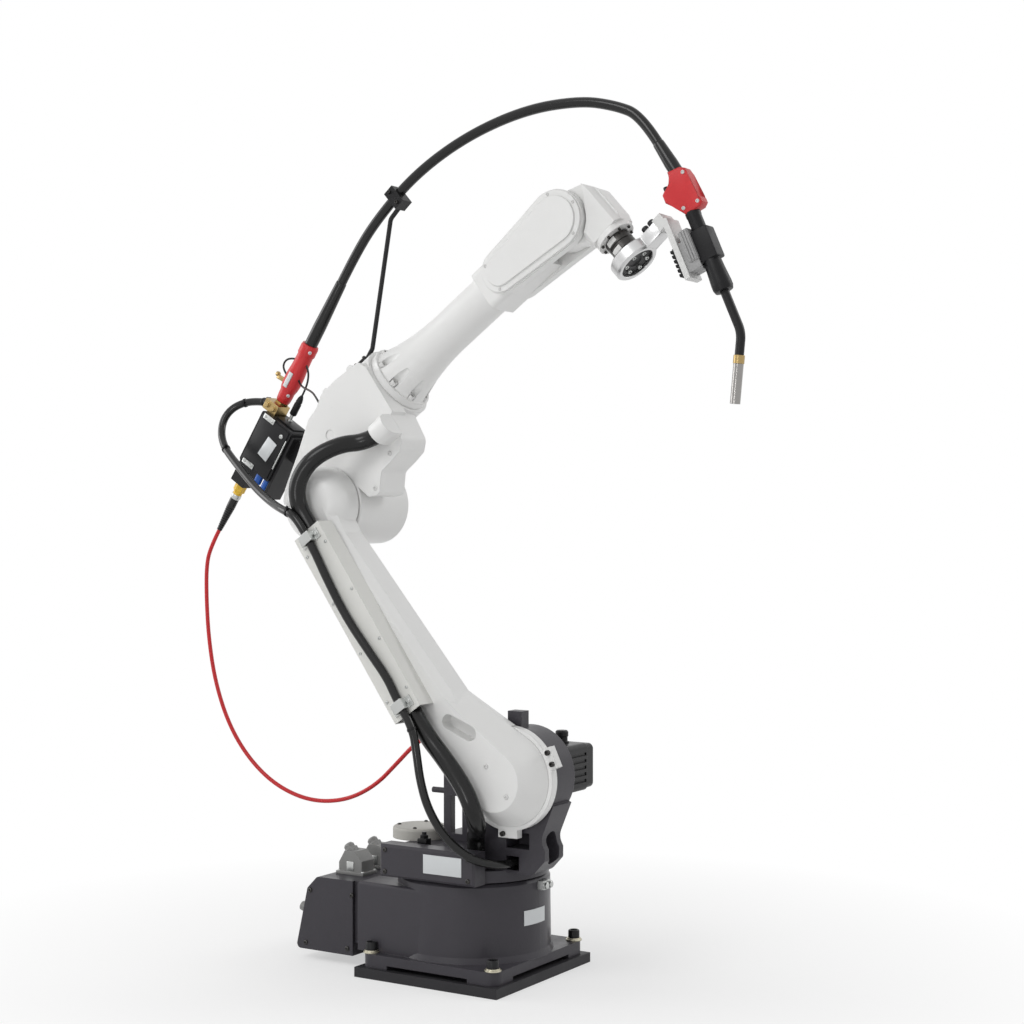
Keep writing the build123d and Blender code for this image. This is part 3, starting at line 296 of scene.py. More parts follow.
def finish(name, colour, roughness, *, metallic=0.0, coat=0.0, specular=0.5, drift=0.06,
           edge_gain=0.0, grain=500.0, bump=0.0002, radius=0.0012, rough_drift=0.12, marks=0.0):
    material = bpy.data.materials.new(name)
    material.use_nodes = True
    tree = material.node_tree
    tree.nodes.clear()
    surface = add_node(tree, "Group", set_node_tree=GRAIN_AND_PATCHES, **{"Grain Scale": grain})
    edges = add_node(tree, "Group", set_node_tree=SOFT_EDGES, Radius=radius)
    dark = [c * (1 - drift) for c in colour] + [1]
    light = [min(1.0, c * (1 + drift)) for c in colour] + [1]
    mixed = add_node(
        tree, "Mix", set_data_type="RGBA", i0=surface.outputs["Patch"], i6=dark, i7=light)
    tint = mixed.outputs[2]
    if edge_gain:
        worn = [min(1.0, c + edge_gain) for c in colour] + [1]
        part = add_node(tree, "Math", set_operation="MULTIPLY", i0=edges.outputs["Edge"],
                        i1=surface.outputs["Patch"])
        mixed = add_node(tree, "Mix", set_data_type="RGBA", i0=part.outputs[0], i6=tint, i7=worn)
        tint = mixed.outputs[2]
    gloss = add_node(
        tree, "MapRange", i0=surface.outputs["Patch"], i1=PATCH_LOW, i2=PATCH_HIGH,
        i3=max(SMOOTHEST, roughness - rough_drift), i4=min(1.0, roughness + rough_drift))
    height = surface.outputs["Grain"]
    if marks:
        height = add_node(tree, "Group", set_node_tree=TOOL_MARKS, Scale=marks).outputs["Marks"]
    relief = add_node(tree, "Bump", Strength=BUMP_STRENGTH, Distance=bump, Height=height,
                      Normal=edges.outputs["Normal"])
    shader = add_node(tree, "BsdfPrincipled", Metallic=metallic, Roughness=gloss.outputs[0],
                      Normal=relief.outputs[0], **{
                          "Base Color": tint, "Specular IOR Level": specular,
                          "Coat Weight": coat, "Coat Roughness": COAT_ROUGHNESS})
    add_node(tree, "OutputMaterial", Surface=shader.outputs[0])
    return material


# %% [markdown]
# The castings are white or charcoal paint. The black plastics and rubbers have a low specular
# level, so that the white room does not wash them out. Metals take their relief from the tool
# marks.

# %% The finishes of this robot
WHITE_PAINT = finish(
    "white_casting_paint", (0.80, 0.80, 0.79), 0.36, coat=0.12, drift=0.02, grain=260, bump=0.00035,
    radius=0.003)
GREY_PAINT = finish(
    "charcoal_casting_paint", (0.047, 0.044, 0.052), 0.38, coat=0.08, specular=0.22, drift=0.10,
    edge_gain=0.03, grain=260, bump=0.0004, radius=0.002)
PLATE_PAINT = finish(
    "charcoal_plate_paint", (0.030, 0.029, 0.032), 0.46, specular=0.2, drift=0.12, edge_gain=0.04,
    grain=420)
SHEET_PAINT = finish(
    "pale_sheet_paint", (0.70, 0.70, 0.67), 0.42, drift=0.03, grain=700, bump=0.0001)
LID_PLASTIC = finish("pale_lid_plastic", (0.42, 0.41, 0.38), 0.5, drift=0.05, grain=900)
HOOD_METAL = finish(
    "grey_hood_metal", (0.22, 0.22, 0.215), 0.45, drift=0.08, edge_gain=0.06, grain=600)
PAD_PLASTIC = finish(
    "grey_pad_plastic", (0.33, 0.33, 0.33), 0.45, drift=0.08, edge_gain=0.05, grain=600)
BLACK_PAINT = finish(
    "satin_black_paint", (0.014, 0.014, 0.015), 0.36, specular=0.22, drift=0.2, edge_gain=0.02)
BLACK_PLASTIC = finish(
    "moulded_black_plastic", (0.012, 0.012, 0.013), 0.4, specular=0.2, drift=0.2, edge_gain=0.015,
    grain=900)
BLACK_RUBBER = finish(
    "black_cable_jacket", (0.008, 0.008, 0.008), 0.2, specular=0.36, drift=0.25, grain=1200,
    bump=0.00004, rough_drift=0.05)
CONDUIT_RUBBER = finish(
    "black_conduit_jacket", (0.007, 0.007, 0.007), 0.24, specular=0.32, drift=0.25, grain=900,
    bump=0.00006, rough_drift=0.05)
RED_RUBBER = finish(
    "red_hose_jacket", (0.52, 0.018, 0.022), 0.4, specular=0.35, drift=0.1, grain=1200,
    bump=0.00008)
RED_PLASTIC = finish(
    "red_moulded_plastic", (0.60, 0.030, 0.035), 0.38, specular=0.35, drift=0.08, edge_gain=0.06,
    grain=800)
BLUE_PLASTIC = finish(
    "blue_moulded_plastic", (0.015, 0.10, 0.42), 0.35, specular=0.35, drift=0.1, grain=900)
YELLOW_FITTING = finish("yellow_anodised_fitting", (0.75, 0.47, 0.03), 0.35, drift=0.1, grain=900)
BRASS = finish(
    "machined_brass", (0.40, 0.29, 0.13), 0.3, metallic=1.0, drift=0.12, marks=1500, bump=0.00006)
ALUMINIUM = finish(
    "machined_aluminium", (0.58, 0.58, 0.58), 0.32, metallic=1.0, drift=0.05, marks=1400,
    bump=0.00006)
PALE_ALLOY = finish("pale_coated_alloy", (0.70, 0.70, 0.69), 0.42, drift=0.04, grain=900)
ZINC = finish(
    "zinc_plated_steel", (0.50, 0.51, 0.50), 0.34, metallic=1.0, drift=0.12, marks=1600,
    bump=0.00005)
YELLOW_ZINC = finish(
    "yellow_zinc_steel", (0.50, 0.47, 0.37), 0.34, metallic=1.0, drift=0.14, marks=1600,
    bump=0.00005)
DARK_STEEL = finish(
    "blackened_steel", (0.05, 0.048, 0.046), 0.34, metallic=0.8, drift=0.15, marks=1500,
    bump=0.00005)
NOZZLE_METAL = finish(
    "plated_nozzle_metal", (0.30, 0.29, 0.28), 0.22, metallic=1.0, drift=0.15, marks=1800,
    bump=0.00005)
print("finishes", len(bpy.data.materials))

# %% [markdown]
# These CAD nodes keep their own form and take a finish. The others are replaced by finer pieces
# further down.

# %% Dress the CAD nodes
NODE_FINISHES = [
    (PLATE_PAINT, ["floor_plate"]),
    (GREY_PAINT, ["base_casting", "rear_box", "turret_casting", "rear_plate", "turret_side_cover"]),
    (HOOD_METAL, ["connector_hoods", "rear_glands"]),
    (LID_PLASTIC, ["turn_motor_lid"]),
    (WHITE_PAINT, ["upper_arm_casting", "shoulder_ring", "elbow_casting", "elbow_hub_cover",
                   "forearm_casting", "side_covers", "wrist_casting", "wrist_ring"]),
    (SHEET_PAINT, ["cable_tray"]),
    (ZINC, ["turn_stop", "tray_clamps", "hose_port"]),
    (BLACK_PAINT, ["support_rod", "shoulder_motor", "shoulder_motor_cap", "feeder_motor",
                   "feeder_bracket", "torch_neck"]),
    (BLACK_PLASTIC, ["feeder_body", "rod_clip"]),
    (BLUE_PLASTIC, ["air_connectors"]),
    (BRASS, ["brass_couplings", "nozzle_collar"]),
    (PALE_ALLOY, ["torch_angle"]),
    (PAD_PLASTIC, ["torch_clamp"]),
    (NOZZLE_METAL, ["nozzle"]),
]


def dress(piece, material):
    piece.data.materials.clear()
    piece.data.materials.append(material)


for material, names in NODE_FINISHES:
    for name in names:
        dress(nodes[name], material)
print("dressed", sum(len(names) for _, names in NODE_FINISHES), "nodes")

# %% [markdown]
# ## Cables and hoses
#
# Each link of the robot has its own frame: X runs along the link and Z stands up from it. Places on
# the feeder, the torch or the cable tray are then short round numbers, and the frames turn them
# into places in the room.

# %% Frames of the links
MM = 0.001
SHOULDER_X, SHOULDER_Z = 150, 420


def shift(x, y, z):
    return Matrix.Translation(Vector((x, y, z)) * MM)


def tilt(angle):
    return Matrix.Rotation(radians(angle), 4, "Y")


def rolled(frame, angle):
    """A frame turned about its own X."""
    return frame @ Matrix.Rotation(radians(angle), 4, "X")


def spot(frame, x, y, z):
    """A place given in millimetres in a link's frame."""
    return frame @ (Vector((x, y, z)) * MM)


ROOM = Matrix.Identity(4)
ARM = shift(SHOULDER_X, 0, SHOULDER_Z) @ tilt(-40.2)
TRAY = ARM @ shift(-28, -165, 427.5) @ tilt(5)
FOREARM = shift(-309.566, 0, 963.823) @ tilt(-36)
FEEDER = FOREARM @ shift(-122, 0, 244.7) @ tilt(-21)
POWER_PLUG = FEEDER @ shift(95, -18, 41) @ tilt(-27)
CLIP = FOREARM @ shift(477, 0, 467) @ tilt(-5.2)
WRIST = shift(223.294, 0, 1530.198) @ tilt(48)
TOOL = WRIST @ shift(0, 0, 58)
TORCH = TOOL @ shift(229.2, 0, 137) @ tilt(18.5)
SHELL_BOOT = TORCH @ shift(-132, 0, 0) @ tilt(-10)
print("torch at", [round(v, 3) for v in TORCH.translation])

# %% [markdown]
# A cable is a fixed length of something flexible, so it never turns a corner. Its route is a
# handful of places, and a NURBS spline with those places as control points draws the smooth line
# that a jacket would take. The line is then read back as points.

# %% A smooth line
CORD_STEPS = 18


def smooth_line(name, route):
    curve = bpy.data.curves.new(name, "CURVE")
    curve.dimensions = "3D"
    spline = curve.splines.new("NURBS")
    spline.points.add(len(route) - 1)
    for point, place in zip(spline.points, route):
        point.co = (*place, 1)
    spline.order_u = 3
    spline.use_endpoint_u = True
    spline.resolution_u = CORD_STEPS
    holder = bpy.data.objects.new(name, curve)
    scene.collection.objects.link(holder)
    bpy.context.view_layer.update()
    mesh = bpy.data.meshes.new_from_object(holder)
    line = [v.co.copy() for v in mesh.vertices]
    bpy.data.objects.remove(holder)
    bpy.data.curves.remove(curve)
    bpy.data.meshes.remove(mesh)
    return line


def line_length(line):
    return sum((b - a).length for a, b in zip(line, line[1:]))


# %% [markdown]
# A ring of vertices is carried along the line to make the tube. Carrying the ring, instead of
# aiming it anew at each point, keeps the tube from twisting.

# %% A tube along a line
CORD_SIDES = 20
SHARP_ANGLE = radians(38)


def carried_frames(line):
    """A frame at each point, with Z along the line, that turns no more than the line does."""
    frames = []
    turn = (line[1] - line[0]).to_track_quat("Z", "Y")
    for index, place in enumerate(line):
        ahead = line[min(index + 1, len(line) - 1)] - line[max(index - 1, 0)]
        turn = (turn @ Vector((0, 0, 1))).rotation_difference(ahead) @ turn
        frames.append(Matrix.Translation(place) @ turn.to_matrix().to_4x4())
    return frames


def loft_rings(bm, rings):
    """Join rings of vertices one after another, and close the first and the last."""
    for low, high in zip(rings, rings[1:]):
        count = len(low)
        for k in range(count):
            bm.faces.new((low[k], low[(k + 1) % count], high[(k + 1) % count], high[k]))
    bm.faces.new(rings[0][::-1])
    bm.faces.new(rings[-1])


def ring_of(bm, frame, radius):
    angles = [2 * pi * k / CORD_SIDES for k in range(CORD_SIDES)]
    return [bm.verts.new(frame @ Vector((radius * cos(a), radius * sin(a), 0))) for a in angles]


def new_piece(name, bm, material):
    """An object from a finished bmesh, with its material and sharp edges kept."""
    bmesh.ops.recalc_face_normals(bm, faces=bm.faces)
    mesh = bpy.data.meshes.new(name)
    bm.to_mesh(mesh)
    bm.free()
    mesh.polygons.foreach_set("use_smooth", [True] * len(mesh.polygons))
    mesh.set_sharp_from_angle(angle=SHARP_ANGLE)
    piece = bpy.data.objects.new(name, mesh)
    scene.collection.objects.link(piece)
    dress(piece, material)
    return piece


def tube(name, line, diameter, material):
    bm = bmesh.new()
    loft_rings(bm, [ring_of(bm, frame, diameter / 2) for frame in carried_frames(line)])
    return new_piece(name, bm, material)


# %% [markdown]
# The routes follow the places of the CAD model's cords, in metres. The torch cable is one line from
# the red handle to the torch, but it crosses three joints, and a piece can bend across only one. So
# its line is drawn once and cut where the solids are cut, into four lengths, each between its own
# two links.

# %% Routes of the cords
CABLE_Y, CONDUIT_Y = -54.5, -25
FEED_Z = 21
HOSE_Y, HOSE_Z = -14, 10
TORCH_ROUTE = [
    spot(FEEDER, 413, 0, FEED_Z), spot(FEEDER, 493, 0, FEED_Z), spot(CLIP, -64, 0, 0),
    spot(CLIP, 64, 0, 0), (-0.020, 0, 1.731), (0.125, 0, 1.770), (0.255, 0, 1.773),
    (0.335, 0, 1.754), spot(SHELL_BOOT, -140, 0, 0), spot(SHELL_BOOT, -70, 0, 0)]
POWER_ROUTE = [
    spot(POWER_PLUG, 0, 0, 16), spot(POWER_PLUG, 0, 0, 50), (-0.623, -0.030, 1.186),
    (-0.644, -0.042, 1.160), (-0.639, -0.058, 1.124), (-0.612, -0.076, 1.091),
    (-0.570, -0.094, 1.062), (-0.520, -0.116, 1.030), (-0.463, -0.140, 0.995),
    (-0.402, -0.168, 0.968), (-0.340, -0.207, 0.953), spot(TRAY, 0, CABLE_Y, 260.5),
    spot(TRAY, 0, CABLE_Y, 218.5)]
TRAY_CABLE_ROUTE = [spot(TRAY, x, CABLE_Y, z) for x, z in (
    (0, 218.5), (0, 180), (-7, 110), (-11, 20), (-3, -70), (5, -140), (0, -185), (0, -218.5))]
ELBOW_CONDUIT_ROUTE = [
    spot(FOREARM, 200, -112, 33), spot(FOREARM, 166, -114, 40), (-0.238, -0.146, 1.090),
    (-0.284, -0.182, 1.060), (-0.316, -0.191, 1.012), (-0.316, -0.188, 0.962),
    spot(TRAY, 0, CONDUIT_Y, 227.5), spot(TRAY, 0, CONDUIT_Y, 162.5)]
SHOULDER_CONDUIT_ROUTE = [
    spot(TRAY, 0, CONDUIT_Y, -212.5), spot(TRAY, 0, CONDUIT_Y, -267.5), (0.060, -0.194, 0.460),
    (0.106, -0.194, 0.406), (0.126, -0.193, 0.362), (0.112, -0.156, 0.321), (0.072, -0.105, 0.306),
    (0.072, -0.104, 0.266)]
ARM_CONDUIT_ROUTE = [spot(TRAY, x, CONDUIT_Y, z) for x, z in (
    (0, 162.5), (3, 60), (-3, -100), (0, -212.5))]
SHOULDER_CABLE_ROUTE = [
    spot(TRAY, 0, CABLE_Y, -218.5), spot(TRAY, 0, CABLE_Y, -254.5), (0.012, -0.224, 0.470),
    (0.020, -0.224, 0.420), (0.036, -0.220, 0.364), (0.070, -0.208, 0.307), (0.113, -0.180, 0.264),
    (0.142, -0.128, 0.250), (0.147, -0.084, 0.248), (0.147, -0.034, 0.248)]
GAS_ROUTE = [
    spot(FEEDER, -222, HOSE_Y, HOSE_Z), spot(FEEDER, -268, HOSE_Y, HOSE_Z), (-0.722, -0.012, 0.830),
    (-0.722, -0.012, 0.750), (-0.715, -0.012, 0.660), (-0.698, -0.010, 0.565),
    (-0.660, -0.008, 0.470), (-0.602, -0.006, 0.395), (-0.525, -0.004, 0.340),
    (-0.430, -0.002, 0.313), (-0.335, 0, 0.322), (-0.255, 0, 0.360), (-0.195, 0, 0.415),
    (-0.150, 0, 0.458), (-0.098, 0, 0.487), (-0.044, -0.001, 0.499), (-0.002, -0.010, 0.502),
    spot(ARM, -50, -36, 150), spot(ARM, -50, -70, 150)]
print("torch route", len(TORCH_ROUTE), "places")

# %% Cords that cross a joint
TORCH_CABLE_D, POWER_CABLE_D, CONDUIT_D, GAS_HOSE_D = 0.021, 0.017, 0.036, 0.009


def jointed_cord(node, line, diameter, material, slot, first_body, last_body, stiffness, lay):
    """A cord along a line from one link to another, which replaces the CAD cord of the same name.
    """
    piece = tube(node + "_jacket", line, diameter, material)
    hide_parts(node)
    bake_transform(piece)


JOINTED_CORDS = [
    ("power_cable", POWER_ROUTE, POWER_CABLE_D, BLACK_RUBBER, "black_rubber",
     "elbow", "upper_arm", "medium", "loose"),
    ("elbow_conduit", ELBOW_CONDUIT_ROUTE, CONDUIT_D, CONDUIT_RUBBER, "black_rubber",
     "elbow", "upper_arm", "stiff", "loose"),
    ("shoulder_conduit", SHOULDER_CONDUIT_ROUTE, CONDUIT_D, CONDUIT_RUBBER, "black_rubber",
     "upper_arm", "turret", "stiff", "loose"),
    ("shoulder_cable", SHOULDER_CABLE_ROUTE, POWER_CABLE_D, BLACK_RUBBER, "black_rubber",
     "upper_arm", "turret", "medium", "loose"),
    ("gas_hose", GAS_ROUTE, GAS_HOSE_D, RED_RUBBER, "red_rubber",
     "elbow", "upper_arm", "medium", "hanging"),
]
lines = {}
for node, route, *manner in JOINTED_CORDS:
    lines[node] = smooth_line(node + "_line", route)
    jointed_cord(node, lines[node], *manner)

# %% The torch cable in four lengths
TORCH_CUTS = (2, 5, 7)  # halfway from each of these places to the next
torch_line = smooth_line("torch_line", TORCH_ROUTE)
cuts = [0]
for run in TORCH_CUTS:
    place = (Vector(TORCH_ROUTE[run]) + Vector(TORCH_ROUTE[run + 1])) / 2
    cuts.append(min(range(len(torch_line)), key=lambda k: (torch_line[k] - place).length))
cuts.append(len(torch_line) - 1)
torch_lengths = [torch_line[a:b + 1] for a, b in zip(cuts, cuts[1:])]
TORCH_NODES = ["torch_cable_rear", "torch_cable_arch", "torch_cable_top", "torch_cable_end"]
TORCH_LINKS = ["elbow", "elbow", "forearm", "wrist", "tool"]

for index in (1, 2, 3):
    jointed_cord(TORCH_NODES[index], torch_lengths[index], TORCH_CABLE_D, BLACK_RUBBER,
                 "black_rubber", TORCH_LINKS[index], TORCH_LINKS[index + 1], "stiff", "loose")

# %% Cords that stay on one link


def carried_cord(name, line, diameter, material, body, stiffness, *replaced):
    """A cord whose two ends are on the same link, so that it rides there whole."""
    piece = tube(name, line, diameter, material)
    if replaced:
        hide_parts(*replaced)
    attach(piece, body)
    print(name, "length", round(line_length(line), 3))


carried_cord(
    "torch_cable_rear_jacket", torch_lengths[0], TORCH_CABLE_D, BLACK_RUBBER, "elbow", "stiff",
    TORCH_NODES[0])
carried_cord(
    "tray_cable_jacket", smooth_line("tray_line", TRAY_CABLE_ROUTE), POWER_CABLE_D, BLACK_RUBBER,
    "upper_arm", "medium", "tray_cable")
carried_cord(
    "arm_conduit_jacket", smooth_line("arm_conduit_line", ARM_CONDUIT_ROUTE), CONDUIT_D,
    CONDUIT_RUBBER, "upper_arm", "stiff", "arm_conduit")

# %% [markdown]
# ## Turned and boxed pieces
#
# Most small parts of a machine are turned on a lathe or milled from bar. One helper turns a profile
# about an axis and can make any ring of it six-sided, which gives nuts and socket keys. Another
# makes a bar with broken edges. Both add to a mesh that is already open, so a whole set of screws
# becomes one object that rides on one link.

# %% Helpers for turned and boxed pieces
HEX = "hex"
WELD = 1e-6
AHEAD, BACK, NEAR, UP = (1, 0, 0), (-1, 0, 0), (0, -1, 0), (0, 0, 1)


def facing(frame, x, y, z, direction):
    """A frame at a place on a link, with its Z along a direction of that link."""
    turn = (frame.to_3x3() @ Vector(direction)).to_track_quat("Z", "Y")
    return Matrix.Translation(spot(frame, x, y, z)) @ turn.to_matrix().to_4x4()


def lathe(bm, frame, rings, sides=24):
    """Turn a profile of radius and height about the frame's Z; a ring marked HEX has six flats."""
    loops = []
    for radius, height, *mark in rings:
        loop = []
        for k in range(sides if radius else 1):
            angle = 2 * pi * k / sides
            reach = radius / cos(angle % (pi / 3) - pi / 6) if mark else radius
            place = Vector((reach * cos(angle), reach * sin(angle), height))
            loop.append(bm.verts.new(frame @ (place * MM)))
        loops.append(loop)
    for low, high in zip(loops, loops[1:]):
        for k in range(sides):
            corners = (low[k % len(low)], low[(k + 1) % len(low)], high[(k + 1) % len(high)],
                       high[k % len(high)])
            bm.faces.new(list(dict.fromkeys(corners)))


def bar(bm, frame, low, high, bevel):
    """A block between two corners, with its edges broken."""
    low, high = Vector(low), Vector(high)
    size = Matrix.Diagonal((*((high - low) * MM), 1))
    made = bmesh.ops.create_cube(
        bm, size=1, matrix=frame @ Matrix.Translation((low + high) / 2 * MM) @ size)
    edges = {edge for vert in made["verts"] for edge in vert.link_edges}
    bmesh.ops.bevel(
        bm, geom=list(edges), offset=bevel * MM, segments=2, profile=0.5, affect="EDGES")


def along_x(frame):
    """Lay a lathe's axis along a link's X."""
    return frame @ Matrix.Rotation(pi / 2, 4, "Y")


def riding(name, bm, material, slot, body, *replaced):
    """A piece from a mesh, riding on one link in place of any CAD nodes that are named."""
    bmesh.ops.remove_doubles(bm, verts=bm.verts, dist=WELD)
    piece = new_piece(name, bm, material)
    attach(piece, body)
    if replaced:
        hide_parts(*replaced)
    print(name, "faces", len(piece.data.polygons))


def turned_piece(name, frame, rings, sides, *manner):
    """A piece that is one lathe profile; what follows goes to riding."""
    bm = bmesh.new()
    lathe(bm, frame, rings, sides)
    riding(name, bm, *manner)


# %% Screw heads
def socket_bolt(bm, frame, size):
    """A cap screw: a tall round head with a hexagon socket."""
    key = 0.42 * size
    lathe(bm, frame, [(0, 0), (0.75 * size, 0), (0.75 * size, 0.86 * size), (0.66 * size, size),
                      (0.56 * size, size), (key, 0.95 * size, HEX), (key, 0.4 * size, HEX),
                      (0, 0.35 * size)])


def button_screw(bm, frame, size):
    """A low round head with a small socket."""
    key = 0.33 * size
    lathe(bm, frame, [(0, 0), (0.9 * size, 0), (0.88 * size, 0.2 * size),
                      (0.68 * size, 0.46 * size), (0.45 * size, 0.54 * size),
                      (key, 0.5 * size, HEX), (key, 0.2 * size, HEX), (0, 0.16 * size)])


def hex_bolt(bm, frame, size):
    """A hexagon head on its washer."""
    flat = 0.82 * size
    lathe(bm, frame, [(0, 0), (1.1 * size, 0), (1.1 * size, 0.14 * size), (flat, 0.15 * size, HEX),
                      (flat, 0.68 * size, HEX), (0.74 * size, 0.8 * size), (0, 0.8 * size)])


# %% [markdown]
# ## The base and the turret
#
# The robot stands on four cap screws with zinc washers. The bare plates are where a real machine
# carries its data; here they are left as plain satin metal. The one on the barrel has to follow its
# curve, so it is a bent strip.

# %% Anchor screws and washers
ANCHORS = [(x, y) for x in (-147.5, 147.5) for y in (-157.5, 157.5)]
FLANGE_TOP = 48
FIRST_WASHER, BOTH_WASHERS = 3.2, 5.8
washers, bolts = bmesh.new(), bmesh.new()
for x, y in ANCHORS:
    lathe(washers, shift(x, y, FLANGE_TOP),
          [(9, 0), (17, 0), (17, 2.4), (16, 3.2), (9, 3.2), (9, 0)], 32)
    lathe(washers, shift(x, y, FLANGE_TOP + FIRST_WASHER),
          [(9, 0), (14.5, 0), (14.5, 2), (13.8, 2.6), (9, 2.6), (9, 0)], 32)
    socket_bolt(bolts, shift(x, y, FLANGE_TOP + BOTH_WASHERS), 16)
riding("anchor_washers", washers, YELLOW_ZINC, "zinc_steel", "base")
riding("anchor_screws", bolts, BLACK_PAINT, "black_paint", "base")

# %% Bare plates
BARE_PLATE = finish(
    "bare_satin_plate", (0.60, 0.62, 0.63), 0.4, metallic=0.3, drift=0.05, grain=900, radius=0.0004)


def bent_plate(bm, radius, middle, span, low, high, thick):
    """A strip that lies round an upright barrel."""
    steps = 16
    corners = ((radius, low), (radius + thick, low), (radius + thick, high), (radius, high))
    rings = []
    for step in range(steps + 1):
        angle = radians(middle + span * (step / steps - 0.5))
        out = Vector((cos(angle), sin(angle), 0))
        rings.append([bm.verts.new((out * r + Vector((0, 0, z))) * MM) for r, z in corners])
    loft_rings(bm, rings)


bm = bmesh.new()
bent_plate(bm, radius=158.6, middle=-5, span=25, low=116, high=146, thick=1.2)
riding("base_bare_plate", bm, BARE_PLATE, "aluminium", "base")
bm = bmesh.new()
bar(bm, ROOM, (-13, -167, 225), (79, -165.5, 263), 0.5)
riding("cover_bare_plate", bm, BARE_PLATE, "aluminium", "turret")

# %% Screws of the base and the turret
STOP_REACH, STOP_Z, STOP_TURN = 172, 192, radians(3)
BOX_HALF = 118
COVER_FACE = -166
LID_X, LID_Y, LID_TOP, LID_SCREW_R = -126, -14, 290, 46
MOTOR_END, MOTOR_FLANGE, FLANGE_SPREAD = 154, 28, 1.36
bm = bmesh.new()
for side in (-9, 9):
    hex_bolt(bm, facing(Matrix.Rotation(STOP_TURN, 4, "Z"), STOP_REACH, side, STOP_Z, AHEAD), 8)
riding("stop_bolts", bm, ZINC, "zinc_steel", "base")
bm = bmesh.new()
for x in (-350, -240):
    for z, lean in ((36, 0), (148, 12)):
        for side in (-1, 1):
            button_screw(bm, facing(ROOM, x + lean, side * BOX_HALF, z, (0, side, 0)), 6)
riding("rear_box_screws", bm, DARK_STEEL, "black_steel", "base")
bm = bmesh.new()
for x in (-108, 94):
    for z in (219, 263):
        button_screw(bm, facing(ROOM, x, COVER_FACE, z, NEAR), 6)
for angle in (radians(a) for a in (20, 110, 200, 290)):
    x, y = LID_X + LID_SCREW_R * cos(angle), LID_Y + LID_SCREW_R * sin(angle)
    button_screw(bm, shift(x, y, LID_TOP), 5)
for x in (-36, 36):
    for z in (-36, 36):
        for y, spread, size in ((MOTOR_END, 1, 6), (MOTOR_FLANGE, FLANGE_SPREAD, 7)):
            place = (SHOULDER_X + spread * x, y, SHOULDER_Z + spread * z)
            socket_bolt(bm, facing(ROOM, *place, (0, 1, 0)), size)
riding("turret_screws", bm, DARK_STEEL, "black_steel", "turret")

# %% [markdown]
# Heavy round plugs feed the motors. On the rear box two cranked hoods carry their own flanges,
# clips and glands; on the motor two smaller plugs stand up from the case, and beside the round lid
# sits a small black sensor plug.

# %% Plugs on the base and the motor
HOOD_X, HOOD_TOP = -273, 178
HOODS_Y = (-42, 42)
MOTOR_TOP = 468
bm = bmesh.new()
for y in HOODS_Y:
    bar(bm, ROOM, (HOOD_X - 36, y - 26, HOOD_TOP - 0.5), (HOOD_X + 36, y + 26, HOOD_TOP + 7), 1.5)
    gland = facing(ROOM, HOOD_X - 12, y, HOOD_TOP + 46, (-0.62, 0, 0.78))
    lathe(
        bm, gland, [(0, -6), (13, -6, HEX), (13, 5, HEX), (11.5, 7), (11.5, 14), (8, 18), (0, 18)])
riding("hood_flanges", bm, HOOD_METAL, "grey_plastic", "base")
bm = bmesh.new()
for y in HOODS_Y:
    for x in (-31, 31):
        for side in (-20, 20):
            button_screw(bm, shift(HOOD_X + x, y + side, HOOD_TOP + 7), 4)
    for side in (-23.5, 22):
        bar(bm, ROOM, (HOOD_X - 9, y + side, HOOD_TOP + 6),
            (HOOD_X + 9, y + side + 1.5, HOOD_TOP + 28), 0.5)
riding("hood_clips", bm, ZINC, "zinc_steel", "base")
bm = bmesh.new()
for y in (52, 104):
    lathe(bm, shift(SHOULDER_X, y, MOTOR_TOP),
          [(0, 0), (15, 0), (15, 4), (12, 5), (12, 14), (13.5, 15), (13.5, 24), (11, 27), (0, 27)])
bar(bm, ROOM, (-66, -112, 265.5), (-44, -92, 282), 2)
lathe(bm, shift(-55, -102, 281), [(0, 0), (8, 0, HEX), (8, 7, HEX), (5, 9), (5, 14), (0, 14)])
riding("motor_plugs", bm, BLACK_PLASTIC, "black_plastic", "turret")

# %% [markdown]
# ## The upper arm
#
# White screws close the drain holes in the shoulder bowl, and dark cap screws sit in the lugs of
# the ring. The pale sheet cover has its own small screws, and hexagon screws hold the two zinc
# saddles over the cable.

# %% Screws of the upper arm
BOWL_FACE, TRAY_FACE, SADDLE_FACE = -165, -46, -49
LUG_REACH, LUG_FACE = 110, -108
bm = bmesh.new()
for x, z in ((8.7, 31.7), (8.2, -42.1)):
    button_screw(bm, facing(ARM, x, BOWL_FACE, z, NEAR), 6)
riding("bowl_screws", bm, PALE_ALLOY, "white_paint", "upper_arm")
bm = bmesh.new()
for turn, places in ((15, (-12, 12)), (-230, (-10,))):
    for z in places:
        socket_bolt(bm, facing(ARM @ tilt(turn), LUG_REACH, LUG_FACE, z, NEAR), 7)
riding("ring_lug_screws", bm, DARK_STEEL, "black_steel", "upper_arm")
bm = bmesh.new()
for x in (-29, 29):
    for z in (-176, -60, 60, 176):
        button_screw(bm, facing(TRAY, x, TRAY_FACE, z, NEAR), 4)
riding("tray_screws", bm, ZINC, "zinc_steel", "upper_arm")
bm = bmesh.new()
for x in (-20, 20):
    for z in (-202.5, 202.5):
        hex_bolt(bm, facing(TRAY, x, SADDLE_FACE, z, NEAR), 5)
riding("saddle_screws", bm, ZINC, "zinc_steel", "upper_arm")

# %% [markdown]
# ## The elbow and the forearm
#
# Eight cap screws in the flutes hold the forearm to its roll flange, painted over with the casting.
# Smaller ones hold the gear cover, the wrist covers and the foot of the cable rod.

